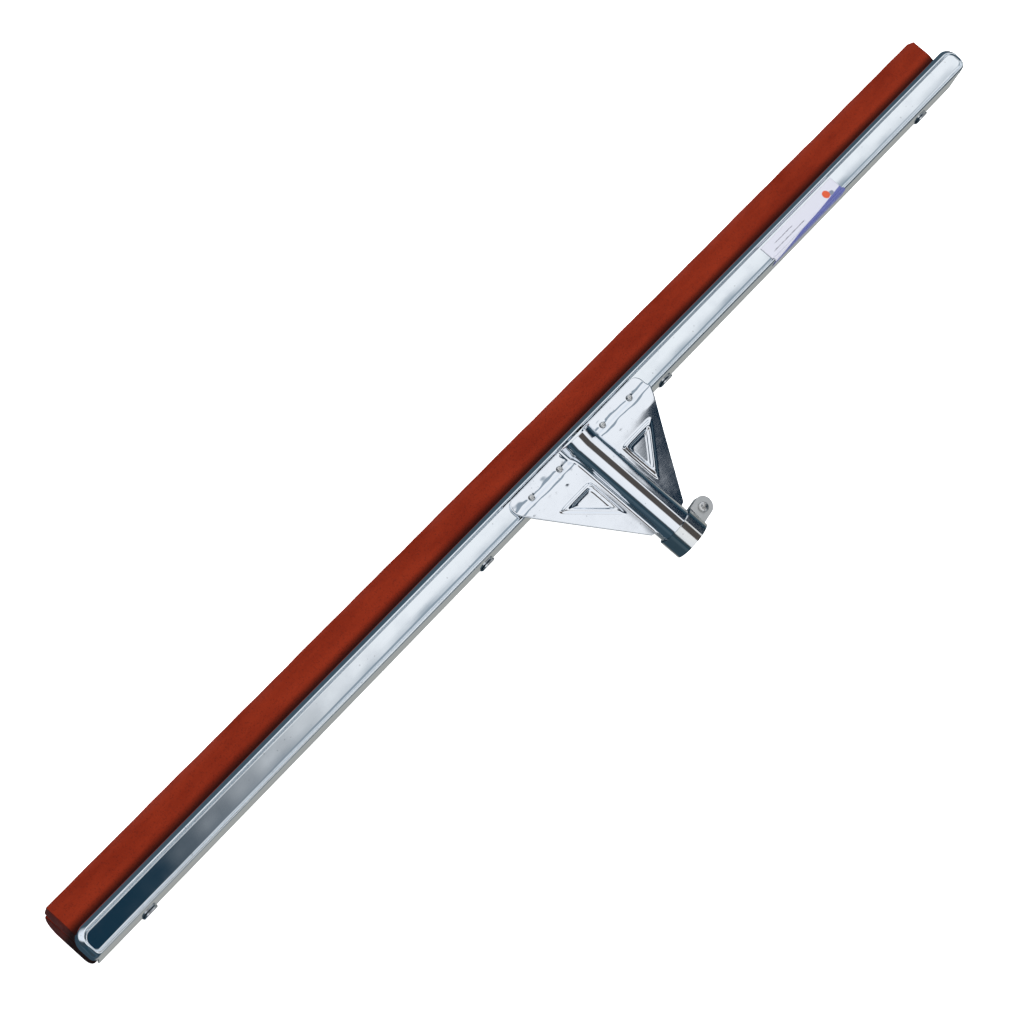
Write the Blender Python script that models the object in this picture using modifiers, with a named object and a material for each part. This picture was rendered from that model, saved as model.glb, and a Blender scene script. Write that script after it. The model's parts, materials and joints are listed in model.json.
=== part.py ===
"""Window cleaning squeegee with a double foam rubber blade and an angled handle socket.

The tool lies on its back.  X runs along the blade, +Y points to the wiping lips, +Z is the
front.  Lengths are in metres.  The section values (Y from the lips, Z from the surface under
the tool) are positive distances; `at` turns them into the frame's own coordinates.
"""
import math

import bmesh
import bpy
from mathutils import Matrix, Vector

MM = 0.001
GAP = 0.3 * MM                      # between pieces that touch
SHARP_ANGLE = math.radians(35)

# Blades
BLADE_LENGTH = 900 * MM
BLADE_OFFSET = -4.5 * MM            # the blades sit a little to one side of the frame
BLADE_THICKNESS = 12.6 * MM         # each of the two
BLADE_CLEARANCE = 0.6 * MM          # blades' far edge to the wall
LIP_SLOT_WIDTH = 3.6 * MM           # between the two lips
LIP_SLOT_DEPTH = 9 * MM
LIP_STEP = 1.2 * MM                 # the back lip stands behind the front lip
BACK_LIP_ROUND = (11.5 * MM, 13 * MM)    # how far the back lip's round reaches in Z and in Y
BACK_HEEL_ROUND = (11.5 * MM, 7 * MM)    # the same for the heel
PINCH_DEPTH = 1.5 * MM              # the front face dips this far where the frame grips it
PINCH_LENGTH = 5 * MM

# Front shell
SHELL_OVERHANG = 9 * MM             # past the blades at each end
SHELL_SHEET = 1.0 * MM
SHELL_REVEAL = 21.6 * MM            # lip to the shell's near edge
SHELL_WIDTH = 20.4 * MM
SHELL_RISE = 7.6 * MM               # skirt height over the pinched rubber
WALL_DEPTH = 24 * MM                # front of the shell down to the wall's free edge
SIDE_SLOPE = 2.4 * MM               # how far the skirt leans in
SHOULDER_WIDTH = 3.6 * MM           # on the rubber side
WALL_SHOULDER = 2.8 * MM            # on the socket side
SHOULDER_ROUND = 1.3 * MM           # outer round of the shoulder
PANEL_SLOPE = 1.2 * MM              # run of the slope from the shoulder to the panel
PANEL_RECESS = 1.6 * MM
NEAR_ROUND = 0.47                   # corner radius as a share of the width, on the rubber side
LEFT_ROUND = 0.19                   # on the socket side, left end
RIGHT_ROUND = 0.42                  # on the socket side, right end
WALL_END_STEP = 1.5 * MM

# Back strip, blade spacer, clips
STRIP_SHEET = 1.2 * MM
STRIP_INSET = 14 * MM               # shorter than the blades at each end
STRIP_NEAR = 13 * MM                # lip to the strip's near edge
SPACER_SHEET = 1.5 * MM
SPACER_NEAR = 27 * MM
SPACER_SEAT = 1.05 * MM             # depth of the seat cut into each blade
CLIP_END = 40 * MM                  # outer clips, in from the blades' ends
CLIP_INNER = 96 * MM                # inner clips, from the middle
CLIP_WIDTH = 10 * MM
CLIP_SHEET = 1.2 * MM
CLIP_RISE = 4.5 * MM                # over the wall's free edge
CLIP_FOOT = 3.4 * MM                # flat foot beside the strip

# Bracket and socket
SOCKET_ANGLE = math.radians(13)
SOCKET_LEAN = math.radians(7.5)     # the tube leans to the +X side
LEAN_START = 7 * MM                 # before the bend, where the lean begins
SOCKET_RADIUS = 12.7 * MM           # outside of the tube
BRACKET_SHEET = 1.2 * MM
FLANGE_HALF = 68.5 * MM
FLANGE_CORNER = 5 * MM
WING_TOP_HALF = 66.5 * MM
WING_TIP_HALF = 16.5 * MM
WING_LENGTH = 66 * MM               # bend line to the wing tips, along the tube
WING_FILLET = 2.2 * MM
BACK_WING_INSET = 3 * MM
TUBE_START = 6 * MM                 # the back half starts this far behind the bend
TUBE_LIP = 0.05 * MM                # the halves' edges past the tube's radius, under the band
RIB_INNER = SOCKET_RADIUS + 6.3 * MM    # clears the fillet beside the tube
RIB_OUTER = 45.5 * MM
RIB_TOP = 12 * MM                   # triangle's top, from the bend line
RIB_LENGTH = 26 * MM
RIB_RADIUS = 1.3 * MM
RIB_ROUND = 1.6 * MM                # at the triangle's corners
RIB_SINK = 0.35                     # share of the sheet that the bead's middle lies under its face
RIVET_PLACES = (-52 * MM, -23 * MM, 23 * MM, 52 * MM)
RIVET_SHANK = 1.3 * MM
JOGGLE_START = 0.9 * MM             # short of the far shoulder
JOGGLE_RUN = 1.4 * MM
RIVET_HEAD = 2.1 * MM
RIVET_HEAD_HEIGHT = 1.1 * MM
RIVET_TAIL_HEIGHT = 0.9 * MM

# Clamp
BAND_SHEET = 1.2 * MM
BAND_LENGTH = 14.6 * MM
BAND_START = 6.4 * MM               # behind the wing tips
EAR_REACH = 31 * MM                 # tube axis to the ear's round end
EAR_GAP = 3 * MM                    # between the two ears
EAR_HALF_HEIGHT = 6.7 * MM
SCREW_PLACE = 22.6 * MM             # tube axis to screw axis
SCREW_RADIUS = 2 * MM
SCREW_HEAD_RADIUS = 3.6 * MM
SCREW_HEAD_HEIGHT = 2.4 * MM
SLOT_WIDTH = 0.9 * MM
SLOT_DEPTH = 1.0 * MM
WASHER_RADIUS = 4.4 * MM
WASHER_THICKNESS = 0.8 * MM
NUT_FLATS = 7 * MM
NUT_HEIGHT = 3.2 * MM
THREAD_SPARE = 3.2 * MM             # thread that stands past the nut

# Label
LABEL_START = 212 * MM
LABEL_LENGTH = 85 * MM
LABEL_THICKNESS = 0.25 * MM
LABEL_MARGIN = 1 * MM               # from the panel's near edge
LABEL_WALL_DROP = 8 * MM            # how far it hangs down the wall

# Levels that follow from the sizes above
BLADE_BACK = STRIP_SHEET + GAP                      # back face of the back blade
BLADE_MIDDLE = BLADE_BACK + BLADE_THICKNESS         # front face of the back blade
BLADE_INNER = BLADE_MIDDLE + GAP                    # back face of the front blade
BLADE_FRONT = BLADE_INNER + BLADE_THICKNESS
PINCH_FRONT = BLADE_FRONT - PINCH_DEPTH
SHELL_LOW = PINCH_FRONT + GAP
SHELL_TOP = SHELL_LOW + SHELL_RISE
PANEL_TOP = SHELL_TOP - PANEL_RECESS
WALL_LOW = SHELL_TOP - WALL_DEPTH
WALL_FACE = SHELL_REVEAL + SHELL_WIDTH              # lip to the wall's outer face
SHELL_HALF = BLADE_LENGTH / 2 + SHELL_OVERHANG
BLADE_DEPTH = WALL_FACE - SHELL_SHEET - BLADE_CLEARANCE     # lip to the blades' far edge
PANEL_NEAR = SHELL_REVEAL + SIDE_SLOPE + SHOULDER_WIDTH
PANEL_FAR = WALL_FACE - WALL_SHOULDER
RIVET_LINE = PANEL_FAR - JOGGLE_START - RIVET_HEAD - GAP    # lip to the row of rivets
STRIP_FAR = BLADE_DEPTH - BACK_HEEL_ROUND[1]
CLIP_BEND = BLADE_BACK + BACK_HEEL_ROUND[0] / 2     # the strap clears the heel up to here
CLIP_PLACES = (CLIP_END - BLADE_LENGTH / 2, -CLIP_INNER, CLIP_INNER, BLADE_LENGTH / 2 - CLIP_END)
BEND_LINE = WALL_FACE + 1.0 * MM                    # the wings bend down behind the wall
BAND_RADIUS = SOCKET_RADIUS + GAP
BAND_OUTER = BAND_RADIUS + BAND_SHEET
BAND_FROM = WING_LENGTH + BAND_START
BAND_TO = BAND_FROM + BAND_LENGTH
TUBE_END = BAND_TO - 1.0 * MM
WING_FACE = BRACKET_SHEET + GAP / 2                 # front of the wings over the tube axis
AXIS_LEVEL = SHELL_TOP + GAP - GAP / 2 * math.cos(SOCKET_ANGLE)
EAR_FACE = EAR_GAP / 2 + BAND_SHEET
SCREW_LINE = BAND_FROM + BAND_LENGTH / 2
TUBE_SLOPE = math.cos(SOCKET_LEAN) * math.cos(SOCKET_ANGLE)     # share of the tube's run that is along Y
BAND_SWEEP = BAND_LENGTH / 2 * TUBE_SLOPE + BAND_OUTER * math.sqrt(1 - TUBE_SLOPE ** 2)
REAR_REACH = BEND_LINE + SCREW_LINE * math.cos(SOCKET_ANGLE) + BAND_SWEEP
LIP_Y = REAR_REACH / 2                              # centres the whole tool on Y = 0

SIDEWAYS = Matrix(((0, 0, 1), (1, 0, 0), (0, 1, 0))).to_4x4()   # outline in Y and Z, depth in X


def at(x, from_lip, height):
    """Point at X, a distance back from the lip, a height over the ground."""
    return Vector((x, LIP_Y - from_lip, height))


def socket_matrix():
    """Frame on the tube axis at the bend: local Y runs up the tube, Z to the front."""
    return Matrix.Translation(at(0, BEND_LINE, AXIS_LEVEL)) @ Matrix.Rotation(SOCKET_ANGLE, 4, "X")


SOCKET = socket_matrix()


def lean(place):
    """How far the tube's axis has moved to +X, a distance behind the bend."""
    return math.tan(SOCKET_LEAN) * max(0.0, place + LEAN_START)


def band_frame():
    """Frame on the leaning axis at the band's middle: local Y runs up the tube, Z to the front."""
    place = Matrix.Translation((lean(SCREW_LINE), -SCREW_LINE, 0))
    return SOCKET @ place @ Matrix.Rotation(SOCKET_LEAN, 4, "Z")


def clear_scene():
    for old in list(bpy.data.objects):
        bpy.data.objects.remove(old, do_unlink=True)


def new_collection(name):
    collection = bpy.data.collections.new(name)
    bpy.context.scene.collection.children.link(collection)
    return collection


def material(name, colour, roughness, metallic):
    made = bpy.data.materials.new(name)
    made.use_nodes = True
    shader = made.node_tree.nodes["Principled BSDF"]
    shader.inputs["Base Color"].default_value = (*colour, 1)
    shader.inputs["Roughness"].default_value = roughness
    shader.inputs["Metallic"].default_value = metallic
    return made


def add_mesh(name, mesh, collection, finish=None, matrix=None):
    piece = bpy.data.objects.new(name, mesh)
    collection.objects.link(piece)
    if matrix is not None:
        piece.matrix_world = matrix
    if finish is not None:
        mesh.materials.clear()
        mesh.materials.append(finish)
    return piece


def mesh_from(name, build):
    """A mesh from a function that fills a bmesh."""
    shape = bmesh.new()
    build(shape)
    mesh = bpy.data.meshes.new(name)
    shape.to_mesh(mesh)
    shape.free()
    return mesh


def arc(centre_a, centre_b, radius_a, radius_b, start, end, steps):
    """Points of an ellipse's arc, with angles in degrees."""
    points = []
    for step in range(steps + 1):
        angle = math.radians(start + (end - start) * step / steps)
        points.append((centre_a + radius_a * math.cos(angle), centre_b + radius_b * math.sin(angle)))
    return points


def prism_mesh(name, outline, depth):
    """A closed outline, extruded half its depth to each side, as a welded mesh."""
    curve = bpy.data.curves.new(name, "CURVE")
    curve.dimensions = "2D"
    curve.fill_mode = "BOTH"
    curve.extrude = depth / 2
    spline = curve.splines.new("POLY")
    spline.points.add(len(outline) - 1)
    for point, place in zip(spline.points, outline):
        point.co = (place[0], place[1], 0, 1)
    spline.use_cyclic_u = True
    guide = bpy.data.objects.new(name + "_outline", curve)
    bpy.context.scene.collection.objects.link(guide)
    bpy.context.view_layer.update()
    evaluated = guide.evaluated_get(bpy.context.evaluated_depsgraph_get())
    mesh = bpy.data.meshes.new_from_object(evaluated)
    bpy.data.objects.remove(guide, do_unlink=True)
    mesh.name = name
    shape = bmesh.new()
    shape.from_mesh(mesh)
    bmesh.ops.remove_doubles(shape, verts=shape.verts, dist=1e-6)
    shape.to_mesh(mesh)
    shape.free()
    return mesh


def sheet_outline(path, thickness):
    """Outline of a bent sheet: the path, and back along it at its thickness to the left."""
    points = [Vector(place) for place in path]
    normals = []
    for first, second in zip(points, points[1:]):
        run = (second - first).normalized()
        normals.append(Vector((-run.y, run.x)))
    offset = [points[0] + normals[0] * thickness]
    for index in range(1, len(points) - 1):
        mitre = (normals[index - 1] + normals[index]).normalized()
        offset.append(points[index] + mitre * thickness / mitre.dot(normals[index]))
    offset.append(points[-1] + normals[-1] * thickness)
    return [tuple(place) for place in points + offset[::-1]]


def lengthwise(name, outline, start, length, collection, finish):
    """A prism along X.  The outline's places are (distance from the lip, height)."""
    placed = [(LIP_Y - from_lip, height) for from_lip, height in outline]
    matrix = Matrix.Translation((start + length / 2, 0, 0)) @ SIDEWAYS
    return smooth(add_mesh(name, prism_mesh(name, placed, length), collection, finish, matrix))


def boolean(piece, operation, tool):
    cut = piece.modifiers.new(tool.name, "BOOLEAN")
    cut.operation = operation
    cut.solver = "EXACT"
    cut.object = tool
    return cut


def hide_tool(piece):
    piece.hide_render = True
    piece.display_type = "WIRE"


def cylinder(name, radius, low, high, matrix, collection, finish=None, segments=24):
    """A cylinder between two heights on its own Z axis."""
    def build(shape):
        bmesh.ops.create_cone(shape, cap_ends=True, segments=segments, radius1=radius, radius2=radius,
                              depth=high - low, matrix=Matrix.Translation((0, 0, (low + high) / 2)))
    return smooth(add_mesh(name, mesh_from(name, build), collection, finish, matrix))


def turned(name, profile, matrix, collection, finish, segments=24):
    """A profile of (radius, height), top to bottom, turned round its own Z axis."""
    def build(shape):
        verts = [shape.verts.new((radius, 0, height)) for radius, height in profile]
        for first, second in zip(verts, verts[1:]):
            shape.edges.new((first, second))
    piece = add_mesh(name, mesh_from(name, build), collection, finish, matrix)
    turn = piece.modifiers.new("turn", "SCREW")
    turn.axis = "Z"
    turn.angle = math.tau
    turn.steps = segments
    turn.render_steps = segments
    turn.use_merge_vertices = True
    turn.merge_threshold = 0.00001
    turn.use_smooth_shade = True
    return piece


def smooth(piece):
    """Shades the round faces smooth and keeps the corners sharp."""
    piece.data.shade_smooth()
    piece.data.set_sharp_from_angle(angle=SHARP_ANGLE)
    return piece


def front_blade(parts, finish):
    """Sharp front lip, a slanted inner side that opens the slot, a seat for the spacer."""
    slot_half = LIP_SLOT_WIDTH / 2
    outline = [
        (0, BLADE_FRONT),
        (0, BLADE_INNER + slot_half),
        (LIP_SLOT_DEPTH, BLADE_INNER),
        (SPACER_NEAR - GAP, BLADE_INNER),
        (SPACER_NEAR - GAP, BLADE_INNER + SPACER_SEAT - GAP / 2),
        (BLADE_DEPTH, BLADE_INNER + SPACER_SEAT - GAP / 2),
        (BLADE_DEPTH, PINCH_FRONT),
        (SHELL_REVEAL, PINCH_FRONT),
        (SHELL_REVEAL - PINCH_LENGTH / 2, PINCH_FRONT + PINCH_DEPTH / 2),
        (SHELL_REVEAL - PINCH_LENGTH, BLADE_FRONT),
    ]
    start = BLADE_OFFSET - BLADE_LENGTH / 2
    return lengthwise("front_blade", outline, start, BLADE_LENGTH, parts, finish)


def back_blade(parts, finish):
    """The same strip turned over, with its back lip and its heel well rounded."""
    slot_half = LIP_SLOT_WIDTH / 2
    lip_z, lip_y = BACK_LIP_ROUND
    heel_z, heel_y = BACK_HEEL_ROUND
    outline = [
        (BLADE_DEPTH, BLADE_MIDDLE - SPACER_SEAT + GAP / 2),
        (SPACER_NEAR - GAP, BLADE_MIDDLE - SPACER_SEAT + GAP / 2),
        (SPACER_NEAR - GAP, BLADE_MIDDLE),
        (LIP_SLOT_DEPTH, BLADE_MIDDLE),
        (LIP_STEP, BLADE_MIDDLE - slot_half),
    ]
    lip_z = min(lip_z, BLADE_THICKNESS - slot_half - GAP)
    outline += arc(LIP_STEP + lip_y, BLADE_BACK + lip_z, lip_y, lip_z, 180, 270, 7)
    heel_z = min(heel_z, BLADE_THICKNESS - SPACER_SEAT - GAP)
    outline += arc(BLADE_DEPTH - heel_y, BLADE_BACK + heel_z, heel_y, heel_z, 270, 360, 6)
    start = BLADE_OFFSET - BLADE_LENGTH / 2
    return lengthwise("back_blade", outline, start, BLADE_LENGTH, parts, finish)


def blade_spacer(parts, finish):
    """Steel strip between the blades, inside the frame."""
    low = (BLADE_MIDDLE + BLADE_INNER - SPACER_SHEET) / 2
    outline = [
        (SPACER_NEAR, low),
        (BLADE_DEPTH, low),
        (BLADE_DEPTH, low + SPACER_SHEET),
        (SPACER_NEAR, low + SPACER_SHEET),
    ]
    length = BLADE_LENGTH - 2 * STRIP_INSET
    return lengthwise("blade_spacer", outline, BLADE_OFFSET - length / 2, length, parts, finish)


def back_strip(parts, finish):
    """Flat strip behind the blades.  The tool lies on it."""
    outline = sheet_outline([(STRIP_NEAR, 0), (STRIP_FAR, 0)], STRIP_SHEET)
    length = BLADE_LENGTH - 2 * STRIP_INSET
    return lengthwise("back_strip", outline, BLADE_OFFSET - length / 2, length, parts, finish)


def shell_loop(inset, near, far, height, drop):
    """One closed line round the shell.  Only the skirt's line drops down the wall."""
    half = SHELL_HALF - inset
    width = far - near
    round_near = width * NEAR_ROUND
    loop = []
    for side, start, end in ((1, 0, 90), (-1, 90, 0)):
        for a, b in arc(half - round_near, near + round_near, round_near, -round_near, start, end, 6):
            loop.append(at(side * a, b, height))
    for side, start, end in ((-1, 0, 90), (1, 90, 0)):
        round_far = width * (LEFT_ROUND if side < 0 else RIGHT_ROUND)
        corner = [at(side * a, b, height)
                  for a, b in arc(half - round_far, far - round_far, round_far, round_far, start, end, 4)]
        wall = at(side * (half - round_far - WALL_END_STEP), far, height - drop)
        loop += corner + [wall] if side < 0 else [wall] + corner
    return loop


def front_shell(parts, finish):
    """Pressed pan: leaning skirt, round shoulder, sunk panel, and a deep wall at the back."""
    lines = [shell_loop(0, SHELL_REVEAL, WALL_FACE, SHELL_LOW, SHELL_LOW - WALL_LOW)]
    for angle in (0, 45, 90):
        turn = math.radians(angle)
        back_off = SHOULDER_ROUND * (1 - math.cos(turn))
        inset = SIDE_SLOPE - SHOULDER_ROUND / 2 + back_off
        height = SHELL_TOP - SHOULDER_ROUND * (1 - math.sin(turn))
        lines.append(shell_loop(inset, SHELL_REVEAL + inset, WALL_FACE - back_off, height, 0))
    for slope, height in ((PANEL_SLOPE, SHELL_TOP), (0, PANEL_TOP)):
        inset = SIDE_SLOPE + SHOULDER_WIDTH - slope
        lines.append(shell_loop(inset, PANEL_NEAR - slope, PANEL_FAR + slope, height, 0))

    def build(shape):
        rows = [[shape.verts.new(place) for place in line] for line in lines]
        for low, high in zip(rows, rows[1:]):
            for index in range(len(low)):
                follow = (index + 1) % len(low)
                shape.faces.new((low[index], low[follow], high[follow], high[index]))
        shape.faces.new(rows[-1])
        bmesh.ops.recalc_face_normals(shape, faces=shape.faces)

    shell = smooth(add_mesh("front_shell", mesh_from("front_shell", build), parts, finish))
    wall = shell.modifiers.new("sheet", "SOLIDIFY")
    wall.thickness = SHELL_SHEET
    wall.offset = -1
    wall.use_even_offset = True
    return shell


def half_section(flat, edge, fillet):
    """Half of a bracket section: flat wing, fillet, then the round up to the top."""
    foot = max(0.0, math.asin(min(1, (flat + fillet) / SOCKET_RADIUS)))
    foot_side = SOCKET_RADIUS * math.cos(foot)
    foot_up = SOCKET_RADIUS * math.sin(foot)
    points = [(edge, flat), ((edge + SOCKET_RADIUS + fillet) / 2, flat)]
    for step in range(4):
        t = step / 3
        side = (1 - t) ** 2 * (SOCKET_RADIUS + fillet) + (2 * t * (1 - t) + t * t) * foot_side
        up = (1 - t ** 2) * flat + t * t * foot_up
        points.append((side, up))
    for step in range(1, 8):
        angle = foot + (math.pi / 2 - foot) * step / 7
        points.append((SOCKET_RADIUS * math.cos(angle), SOCKET_RADIUS * math.sin(angle)))
    return points


def bracket_rows(first, inset):
    """(place along the tube, wing level, wing edge, fillet) for each row behind the bend."""
    tip = WING_TIP_HALF - inset * 0.3
    top = WING_TOP_HALF - inset
    tube_edge = SOCKET_RADIUS + TUBE_LIP
    rows = []
    for share in (0, 0.33, 0.66, 0.97):
        place = first + (WING_LENGTH - first) * share
        rows.append((place, WING_FACE, top + (tip - top) * place / WING_LENGTH, WING_FILLET))
    rows.append((WING_LENGTH, WING_FACE, SOCKET_RADIUS + WING_FILLET, WING_FILLET * 0.8))
    rows.append((WING_LENGTH + BAND_START / 2, WING_FACE, tube_edge, TUBE_LIP / 2))
    rows.append((TUBE_END, WING_FACE, tube_edge, TUBE_LIP / 2))
    return rows


def flange_rows():
    """Rows over the shell: flat in the sunk panel, a joggle over the shoulder, the bend."""
    inverse = SOCKET.inverted()
    panel = PANEL_TOP + GAP + BRACKET_SHEET
    shoulder = SHELL_TOP + GAP + BRACKET_SHEET
    near = PANEL_NEAR + GAP
    profile = [
        (near, panel, FLANGE_HALF - FLANGE_CORNER),
        (near + FLANGE_CORNER * 0.3, panel, FLANGE_HALF - FLANGE_CORNER * 0.3),
        (near + FLANGE_CORNER, panel, FLANGE_HALF),
        (PANEL_FAR - JOGGLE_START, panel, FLANGE_HALF),
        (PANEL_FAR - JOGGLE_START + JOGGLE_RUN, shoulder, FLANGE_HALF),
    ]
    rows = []
    for from_lip, height, edge in profile:
        local = inverse @ at(0, from_lip, height)
        rows.append((-local.y, local.z, edge, WING_FILLET))
    return rows


def bracket_mesh(name, rows, turn_over):
    """Loft of the rows, mirrored at the middle, on the tube's own axes."""
    def build(shape):
        grid = []
        for place, flat, edge, fillet in rows:
            half = half_section(flat, edge, fillet)
            line = half + [(-side, up) for side, up in half[-2::-1]]
            shift = lean(place)
            grid.append([shape.verts.new((side + shift, -place, -up if turn_over else up))
                         for side, up in line])
        for low, high in zip(grid, grid[1:]):
            for index in range(len(low) - 1):
                corners = (low[index], low[index + 1], high[index + 1], high[index])
                shape.faces.new(corners[::-1] if turn_over else corners)
    return mesh_from(name, build)


def add_sheet(piece):
    sheet = piece.modifiers.new("sheet", "SOLIDIFY")
    sheet.thickness = BRACKET_SHEET
    sheet.offset = -1
    sheet.use_even_offset = True
    return smooth(piece)


def rib_tool(side, tools):
    """Raised bead round a three-sided rib on one wing, as a tool to join to the plate."""
    curve = bpy.data.curves.new("rib_path", "CURVE")
    curve.dimensions = "3D"
    curve.bevel_depth = RIB_RADIUS
    curve.bevel_resolution = 1
    corners = [
        Vector((RIB_INNER, RIB_TOP)),
        Vector((RIB_OUTER, RIB_TOP)),
        Vector((RIB_INNER, RIB_TOP + RIB_LENGTH)),
    ]
    points = []
    for index, corner in enumerate(corners):
        before = (corners[index - 1] - corner).normalized() * RIB_ROUND
        after = (corners[(index + 1) % 3] - corner).normalized() * RIB_ROUND
        points += [corner + before, corner + (before + after) * 0.25, corner + after]
    spline = curve.splines.new("POLY")
    spline.points.add(len(points) - 1)
    for point, place in zip(spline.points, points):
        point.co = (side * place.x + lean(place.y), -place.y, WING_FACE - BRACKET_SHEET * RIB_SINK, 1)
    spline.use_cyclic_u = True
    guide = bpy.data.objects.new("rib_path", curve)
    bpy.context.scene.collection.objects.link(guide)
    bpy.context.view_layer.update()
    mesh = bpy.data.meshes.new_from_object(guide.evaluated_get(bpy.context.evaluated_depsgraph_get()))
    bpy.data.objects.remove(guide, do_unlink=True)
    shape = bmesh.new()
    shape.from_mesh(mesh)
    bmesh.ops.remove_doubles(shape, verts=shape.verts, dist=1e-6)
    bmesh.ops.recalc_face_normals(shape, faces=shape.faces)
    shape.to_mesh(mesh)
    shape.free()
    tool = add_mesh("rib_tool_left" if side < 0 else "rib_tool_right", mesh, tools, None, SOCKET)
    hide_tool(tool)
    return tool


def bracket_plates(parts, tools, finish):
    """Front plate: flange, wings and front half of the tube.  Back plate: wings, back half."""
    front_rows = flange_rows() + bracket_rows(0, 0)
    front = add_mesh("bracket_front_plate", bracket_mesh("bracket_front_plate", front_rows, False),
                     parts, finish, SOCKET)
    add_sheet(front)
    for side in (-1, 1):
        boolean(front, "UNION", rib_tool(side, tools))
    back_rows = bracket_rows(TUBE_START, BACK_WING_INSET)
    back = add_mesh("bracket_back_plate", bracket_mesh("bracket_back_plate", back_rows, True),
                    parts, finish, SOCKET)
    add_sheet(back)
    return front, back


def flange_rivets(parts, tools, finish, holders):
    """Four rivets through the flange and the panel, and their holes."""
    flange_top = PANEL_TOP + GAP + BRACKET_SHEET
    low = PANEL_TOP - SHELL_SHEET
    for number, x in enumerate(RIVET_PLACES, 1):
        place = Matrix.Translation(at(x, RIVET_LINE, 0))
        head = arc(0, 0, RIVET_HEAD, RIVET_HEAD_HEIGHT, 90, 0, 4)
        top = flange_top + GAP
        profile = [(side, top + up) for side, up in head]
        profile += [(RIVET_SHANK, top), (RIVET_SHANK, low - GAP), (RIVET_HEAD * 0.9, low - GAP),
                    (RIVET_HEAD * 0.9, low - GAP - RIVET_TAIL_HEIGHT), (0, low - GAP - RIVET_TAIL_HEIGHT)]
        turned("flange_rivet_%d" % number, profile, place, parts, finish, 16)
        drill = cylinder("rivet_drill_%d" % number, RIVET_SHANK + GAP, low - 2 * MM, top + 2 * MM,
                         place, tools, None, 16)
        hide_tool(drill)
        for holder in holders:
            boolean(holder, "DIFFERENCE", drill)


def frame_clips(parts, finish):
    """Straps from the back strip's edge, round the heel, to the outside of the wall."""
    outside = WALL_FACE + GAP + CLIP_SHEET
    path = [
        (STRIP_FAR + GAP, 0),
        (STRIP_FAR + CLIP_FOOT, 0),
        (outside, CLIP_BEND),
        (outside, WALL_LOW + CLIP_RISE),
    ]
    outline = sheet_outline(path, CLIP_SHEET)
    for number, x in enumerate(CLIP_PLACES, 1):
        lengthwise("frame_clip_%d" % number, outline, x - CLIP_WIDTH / 2, CLIP_WIDTH, parts, finish)


def clamp_band(parts, tools, finish):
    """Open band with two flat ears, and the hole that the screw goes through."""
    middle = (BAND_RADIUS + BAND_OUTER) / 2
    opening = math.degrees(math.asin((EAR_GAP / 2) / middle))
    outer = arc(0, 0, BAND_OUTER, BAND_OUTER, opening, 360 - opening, 40)
    inner = arc(0, 0, BAND_RADIUS, BAND_RADIUS, 360 - opening, opening, 40)
    stand = Matrix(((1, 0, 0), (0, 0, -1), (0, 1, 0))).to_4x4()
    centre = band_frame()
    band = add_mesh("clamp_band", prism_mesh("clamp_band", outer + inner, BAND_LENGTH), parts, finish,
                    centre @ stand)
    for side in (-1, 1):
        round_centre = EAR_REACH - EAR_HALF_HEIGHT
        outline = [(middle, EAR_HALF_HEIGHT), (middle, -EAR_HALF_HEIGHT)]
        outline += arc(round_centre, 0, EAR_HALF_HEIGHT, EAR_HALF_HEIGHT, -90, 90, 12)
        lift = side * (EAR_GAP / 2 + BAND_SHEET / 2)
        ear = add_mesh("ear_front" if side > 0 else "ear_back", prism_mesh("ear", outline, BAND_SHEET),
                       tools, None, centre @ Matrix.Translation((0, 0, lift)))
        hide_tool(ear)
        boolean(band, "UNION", ear)
    drill = cylinder("screw_drill", SCREW_RADIUS + GAP, -EAR_FACE * 2, EAR_FACE * 2,
                     centre @ Matrix.Translation((SCREW_PLACE, 0, 0)), tools)
    hide_tool(drill)
    boolean(band, "DIFFERENCE", drill)
    return band


def clamp_screw(parts, tools, finish):
    """Slotted round-head screw, then the washer and the nut behind the back ear."""
    axis = band_frame() @ Matrix.Translation((SCREW_PLACE, 0, 0))
    seat = EAR_FACE + GAP
    top = seat + SCREW_HEAD_HEIGHT
    washer_top = -EAR_FACE - GAP
    nut_top = washer_top - WASHER_THICKNESS - GAP
    end = nut_top - NUT_HEIGHT - THREAD_SPARE
    head = arc(0, seat + SCREW_HEAD_HEIGHT * 0.35, SCREW_HEAD_RADIUS, SCREW_HEAD_HEIGHT * 0.65, 90, 0, 5)
    shank = SCREW_RADIUS
    profile = head + [(SCREW_HEAD_RADIUS, seat), (shank, seat), (shank, end + 0.4 * MM),
                      (shank - 0.4 * MM, end), (0, end)]
    screw = turned("clamp_screw", profile, axis, parts, finish)

    def slot(shape):
        size = Matrix.Diagonal((SCREW_HEAD_RADIUS * 3, SLOT_WIDTH, SLOT_DEPTH * 2, 1))
        bmesh.ops.create_cube(shape, size=1, matrix=Matrix.Translation((0, 0, top)) @ size)
    cutter = add_mesh("slot_cutter", mesh_from("slot_cutter", slot), tools, None, axis)
    hide_tool(cutter)
    boolean(screw, "DIFFERENCE", cutter)
    return axis, washer_top, nut_top


def ring(name, outer, segments, low, high, axis, parts, tools, finish):
    """A washer or nut: a prism with a clear hole for the screw."""
    body = cylinder(name, outer, low, high, axis, parts, finish, segments)
    drill = cylinder(name + "_drill", SCREW_RADIUS + GAP, low - 1 * MM, high + 1 * MM, axis, tools)
    hide_tool(drill)
    boolean(body, "DIFFERENCE", drill)
    return body


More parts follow.
